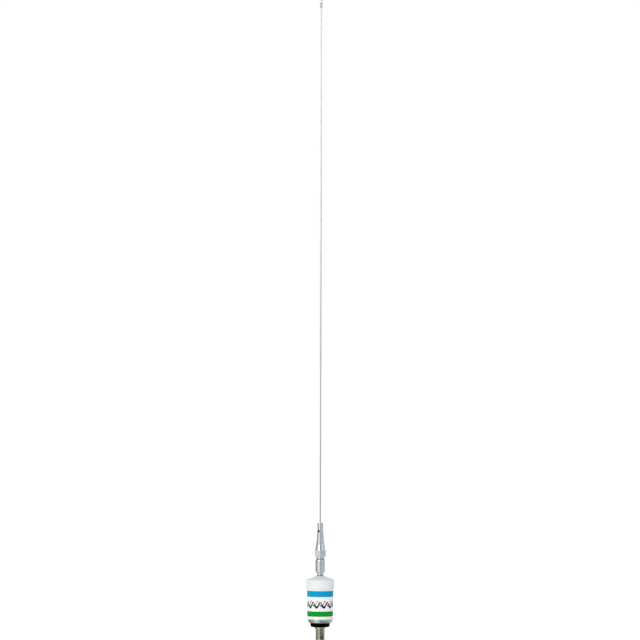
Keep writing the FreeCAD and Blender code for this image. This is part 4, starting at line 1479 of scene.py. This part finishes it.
@dataclass
class Studio:
    """The pale floor, the soft light and the camera. Its sizes are in metres."""

    lens_mm: float = 250.0
    sensor_mm: float = 36.0
    floor_size: float = 80.0
    floor_drop: float = 0.0005
    floor_glow: float = 0.5
    camera_shift_x: float = -0.0012
    camera_roll: float = -0.0020
    camera_reach: float = 200.0
    panels: tuple[Panel, ...] = (
        Panel("key_panel", (-1.7, -2.4, 1.6), 1.6, 38.0),
        Panel("fill_panel", (2.6, -1.2, 1.2), 1.4, 2.0),
    )
    cards: tuple[Card, ...] = (
        Card("card_right", 42.0, 0.08, 0.11, -0.120, -0.014),
        Card("card_left", -122.0, 0.12, 0.07, -0.140, -0.032),
    )

    def build_world(self) -> None:
        """Soft panels all round: bands of light by direction, and plain white behind the object."""
        world = bpy.data.worlds.new("studio")
        bpy.context.scene.world = world
        world.use_nodes = True
        tree = world.node_tree
        tree.nodes.clear()
        place = add_node(tree, "ShaderNodeTexCoord")
        parts = add_node(tree, "ShaderNodeSeparateXYZ", None, {"Vector": place.outputs["Generated"]})
        angle = add_node(tree, "ShaderNodeMath", {"operation": "ARCTAN2"}, {
            0: parts.outputs["X"], 1: parts.outputs["Y"]})
        around = add_node(tree, "ShaderNodeMapRange", None, {
            "Value": angle.outputs[0], "From Min": -math.pi, "From Max": math.pi})
        bands = add_node(tree, "ShaderNodeValToRGB", None, {"Fac": around.outputs["Result"]})
        fill_ramp(bands, (
            (0.000, "B4B8C2"), (0.022, "BCC0CA"), (0.040, "F6F7FB"), (0.100, "FFFFFF"), (0.145, "FAFAFB"),
            (0.180, "DADEDC"), (0.215, "A8AEA0"), (0.270, "A2A89C"), (0.340, "C4C6C0"), (0.500, "EEEEEE"),
            (0.640, "DCDCDA"), (0.740, "BEC0C2"), (0.833, "C2C9CE"), (0.900, "CAD0D2"), (0.940, "BEC4C8"),
            (0.965, "A4ABB2"), (1.000, "B0B4BE")))
        high_bands = add_node(tree, "ShaderNodeValToRGB", None, {"Fac": around.outputs["Result"]})
        fill_ramp(high_bands, (
            (0.00, "F4F4F4"), (0.09, "FFFFFF"), (0.13, "56564E"), (0.36, "56564E"), (0.46, "D8D8D6"),
            (0.54, "D8D8D6"), (0.64, "62605A"), (0.86, "62605A"), (0.91, "D8D8DC"), (1.00, "F4F4F4")))
        sky = bands.outputs["Color"]
        for low, high, above in ((0.70, 0.76, high_bands.outputs["Color"]), (0.88, 0.93, linear("FFFFFF"))):
            rise = add_node(tree, "ShaderNodeMapRange", None, {
                "Value": parts.outputs["Z"], "From Min": low, "From Max": high})
            sky = add_node(tree, "ShaderNodeMix", {"data_type": "RGBA"}, {
                "Factor": rise.outputs["Result"], 6: sky, 7: above}).outputs[2]
        light = add_node(tree, "ShaderNodeBackground", None, {"Color": sky, "Strength": 1.0})
        white = add_node(tree, "ShaderNodeBackground", None, {"Color": linear("FFFFFF"), "Strength": 1.0})
        path = add_node(tree, "ShaderNodeLightPath")
        mixed = add_node(tree, "ShaderNodeMixShader", None, {
            0: path.outputs["Is Camera Ray"], 1: light.outputs[0], 2: white.outputs[0]})
        add_node(tree, "ShaderNodeOutputWorld", None, {"Surface": mixed.outputs[0]})

    def build_floor(self) -> None:
        """A plain pale floor just below the connector, which the metal doesn't mirror."""
        mesh = bmesh.new()
        bmesh.ops.create_grid(mesh, x_segments=1, y_segments=1, size=self.floor_size / 2.0)
        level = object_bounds()[0].z - self.floor_drop
        bmesh.ops.translate(mesh, vec=(0, 0, level), verts=mesh.verts)
        data = bpy.data.meshes.new("studio_floor")
        mesh.to_mesh(data)
        mesh.free()
        material = bpy.data.materials.new("pale_floor")
        material.use_nodes = True
        shader = material.node_tree.nodes["Principled BSDF"]
        shader.inputs["Base Color"].default_value = linear("F0F0EF")
        shader.inputs["Roughness"].default_value = 0.9
        shader.inputs["Emission Color"].default_value = linear("FFFFFF")
        shader.inputs["Emission Strength"].default_value = self.floor_glow
        data.materials.append(material)
        floor = bpy.data.objects.new("studio_floor", data)
        floor.visible_glossy = False
        bpy.context.scene.collection.objects.link(floor)
        floor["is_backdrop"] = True

    def build_lights(self, middle: Vector) -> None:
        """A large key panel from the left and in front, and a weak fill from the right.

        Args:
            middle: the point that both panels face.
        """
        for panel in self.panels:
            lamp = bpy.data.lights.new(panel.name, "AREA")
            lamp.size = panel.size
            lamp.energy = panel.power
            offset = Vector(panel.offset)
            made = bpy.data.objects.new(panel.name, lamp)
            made.location = middle + offset
            made.rotation_mode = "QUATERNION"
            made.rotation_quaternion = (-offset).to_track_quat("-Z", "Y")
            bpy.context.scene.collection.objects.link(made)

    def build_cards(self) -> None:
        """Two small dark cards beside the base, seen only in the reflections of its metal."""
        material = bpy.data.materials.new("dark_card")
        material.use_nodes = True
        shader = material.node_tree.nodes["Principled BSDF"]
        shader.inputs["Base Color"].default_value = linear("1A1712")
        shader.inputs["Roughness"].default_value = 0.9
        for card in self.cards:
            mesh = bmesh.new()
            bmesh.ops.create_grid(mesh, x_segments=1, y_segments=1, size=0.5)
            turn = Matrix.Rotation(math.radians(card.direction), 4, "Z")
            place = Matrix.Translation((0.0, -card.away, (card.bottom + card.top) / 2.0))
            upright = Matrix.Rotation(math.pi / 2.0, 4, "X")
            size = Matrix.Diagonal((card.width, card.top - card.bottom, 1.0, 1.0))
            bmesh.ops.transform(mesh, matrix=turn @ place @ upright @ size, verts=mesh.verts)
            data = bpy.data.meshes.new(card.name)
            mesh.to_mesh(data)
            mesh.free()
            data.materials.append(material)
            made = bpy.data.objects.new(card.name, data)
            made.visible_camera = False
            made.visible_shadow = False
            made.visible_diffuse = False
            bpy.context.scene.collection.objects.link(made)
            made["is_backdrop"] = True

    def build_camera(self, low: Vector, high: Vector) -> None:
        """A long lens, level with the antenna's middle, with the antenna from edge to edge.

        Args:
            low: the antenna's lowest corner.
            high: its highest corner.
        """
        height = high.z - low.z
        distance = self.lens_mm / self.sensor_mm * height
        data = bpy.data.cameras.new("camera")
        data.lens = self.lens_mm
        data.sensor_width = self.sensor_mm
        data.clip_end = self.camera_reach
        camera = bpy.data.objects.new("camera", data)
        camera.location = Vector((self.camera_shift_x, -distance, (low.z + high.z) / 2.0))
        camera.rotation_euler = (math.pi / 2.0, self.camera_roll, 0.0)
        bpy.context.scene.collection.objects.link(camera)
        bpy.context.scene.camera = camera

    def build(self) -> None:
        """Set up the studio round the finished object."""
        low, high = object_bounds()
        self.build_world()
        self.build_floor()
        self.build_cards()
        self.build_lights((low + high) / 2.0)
        self.build_camera(low, high)
        bpy.context.scene.view_settings.view_transform = "Standard"
        log.info("studio: camera %.2f m away", self.lens_mm / self.sensor_mm * (high.z - low.z))


def main() -> None:
    """Build every sub-assembly in order, then the studio."""
    logging.basicConfig(level=logging.INFO, format="%(name)s %(message)s")
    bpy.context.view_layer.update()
    palette = Palette()
    for assembly in (Whip(), Ferrule(), Coupling(), Housing(), Base(), Connector(), Insides()):
        assembly.build(palette)
    Studio().build()


if __name__ == "__main__":
    main()
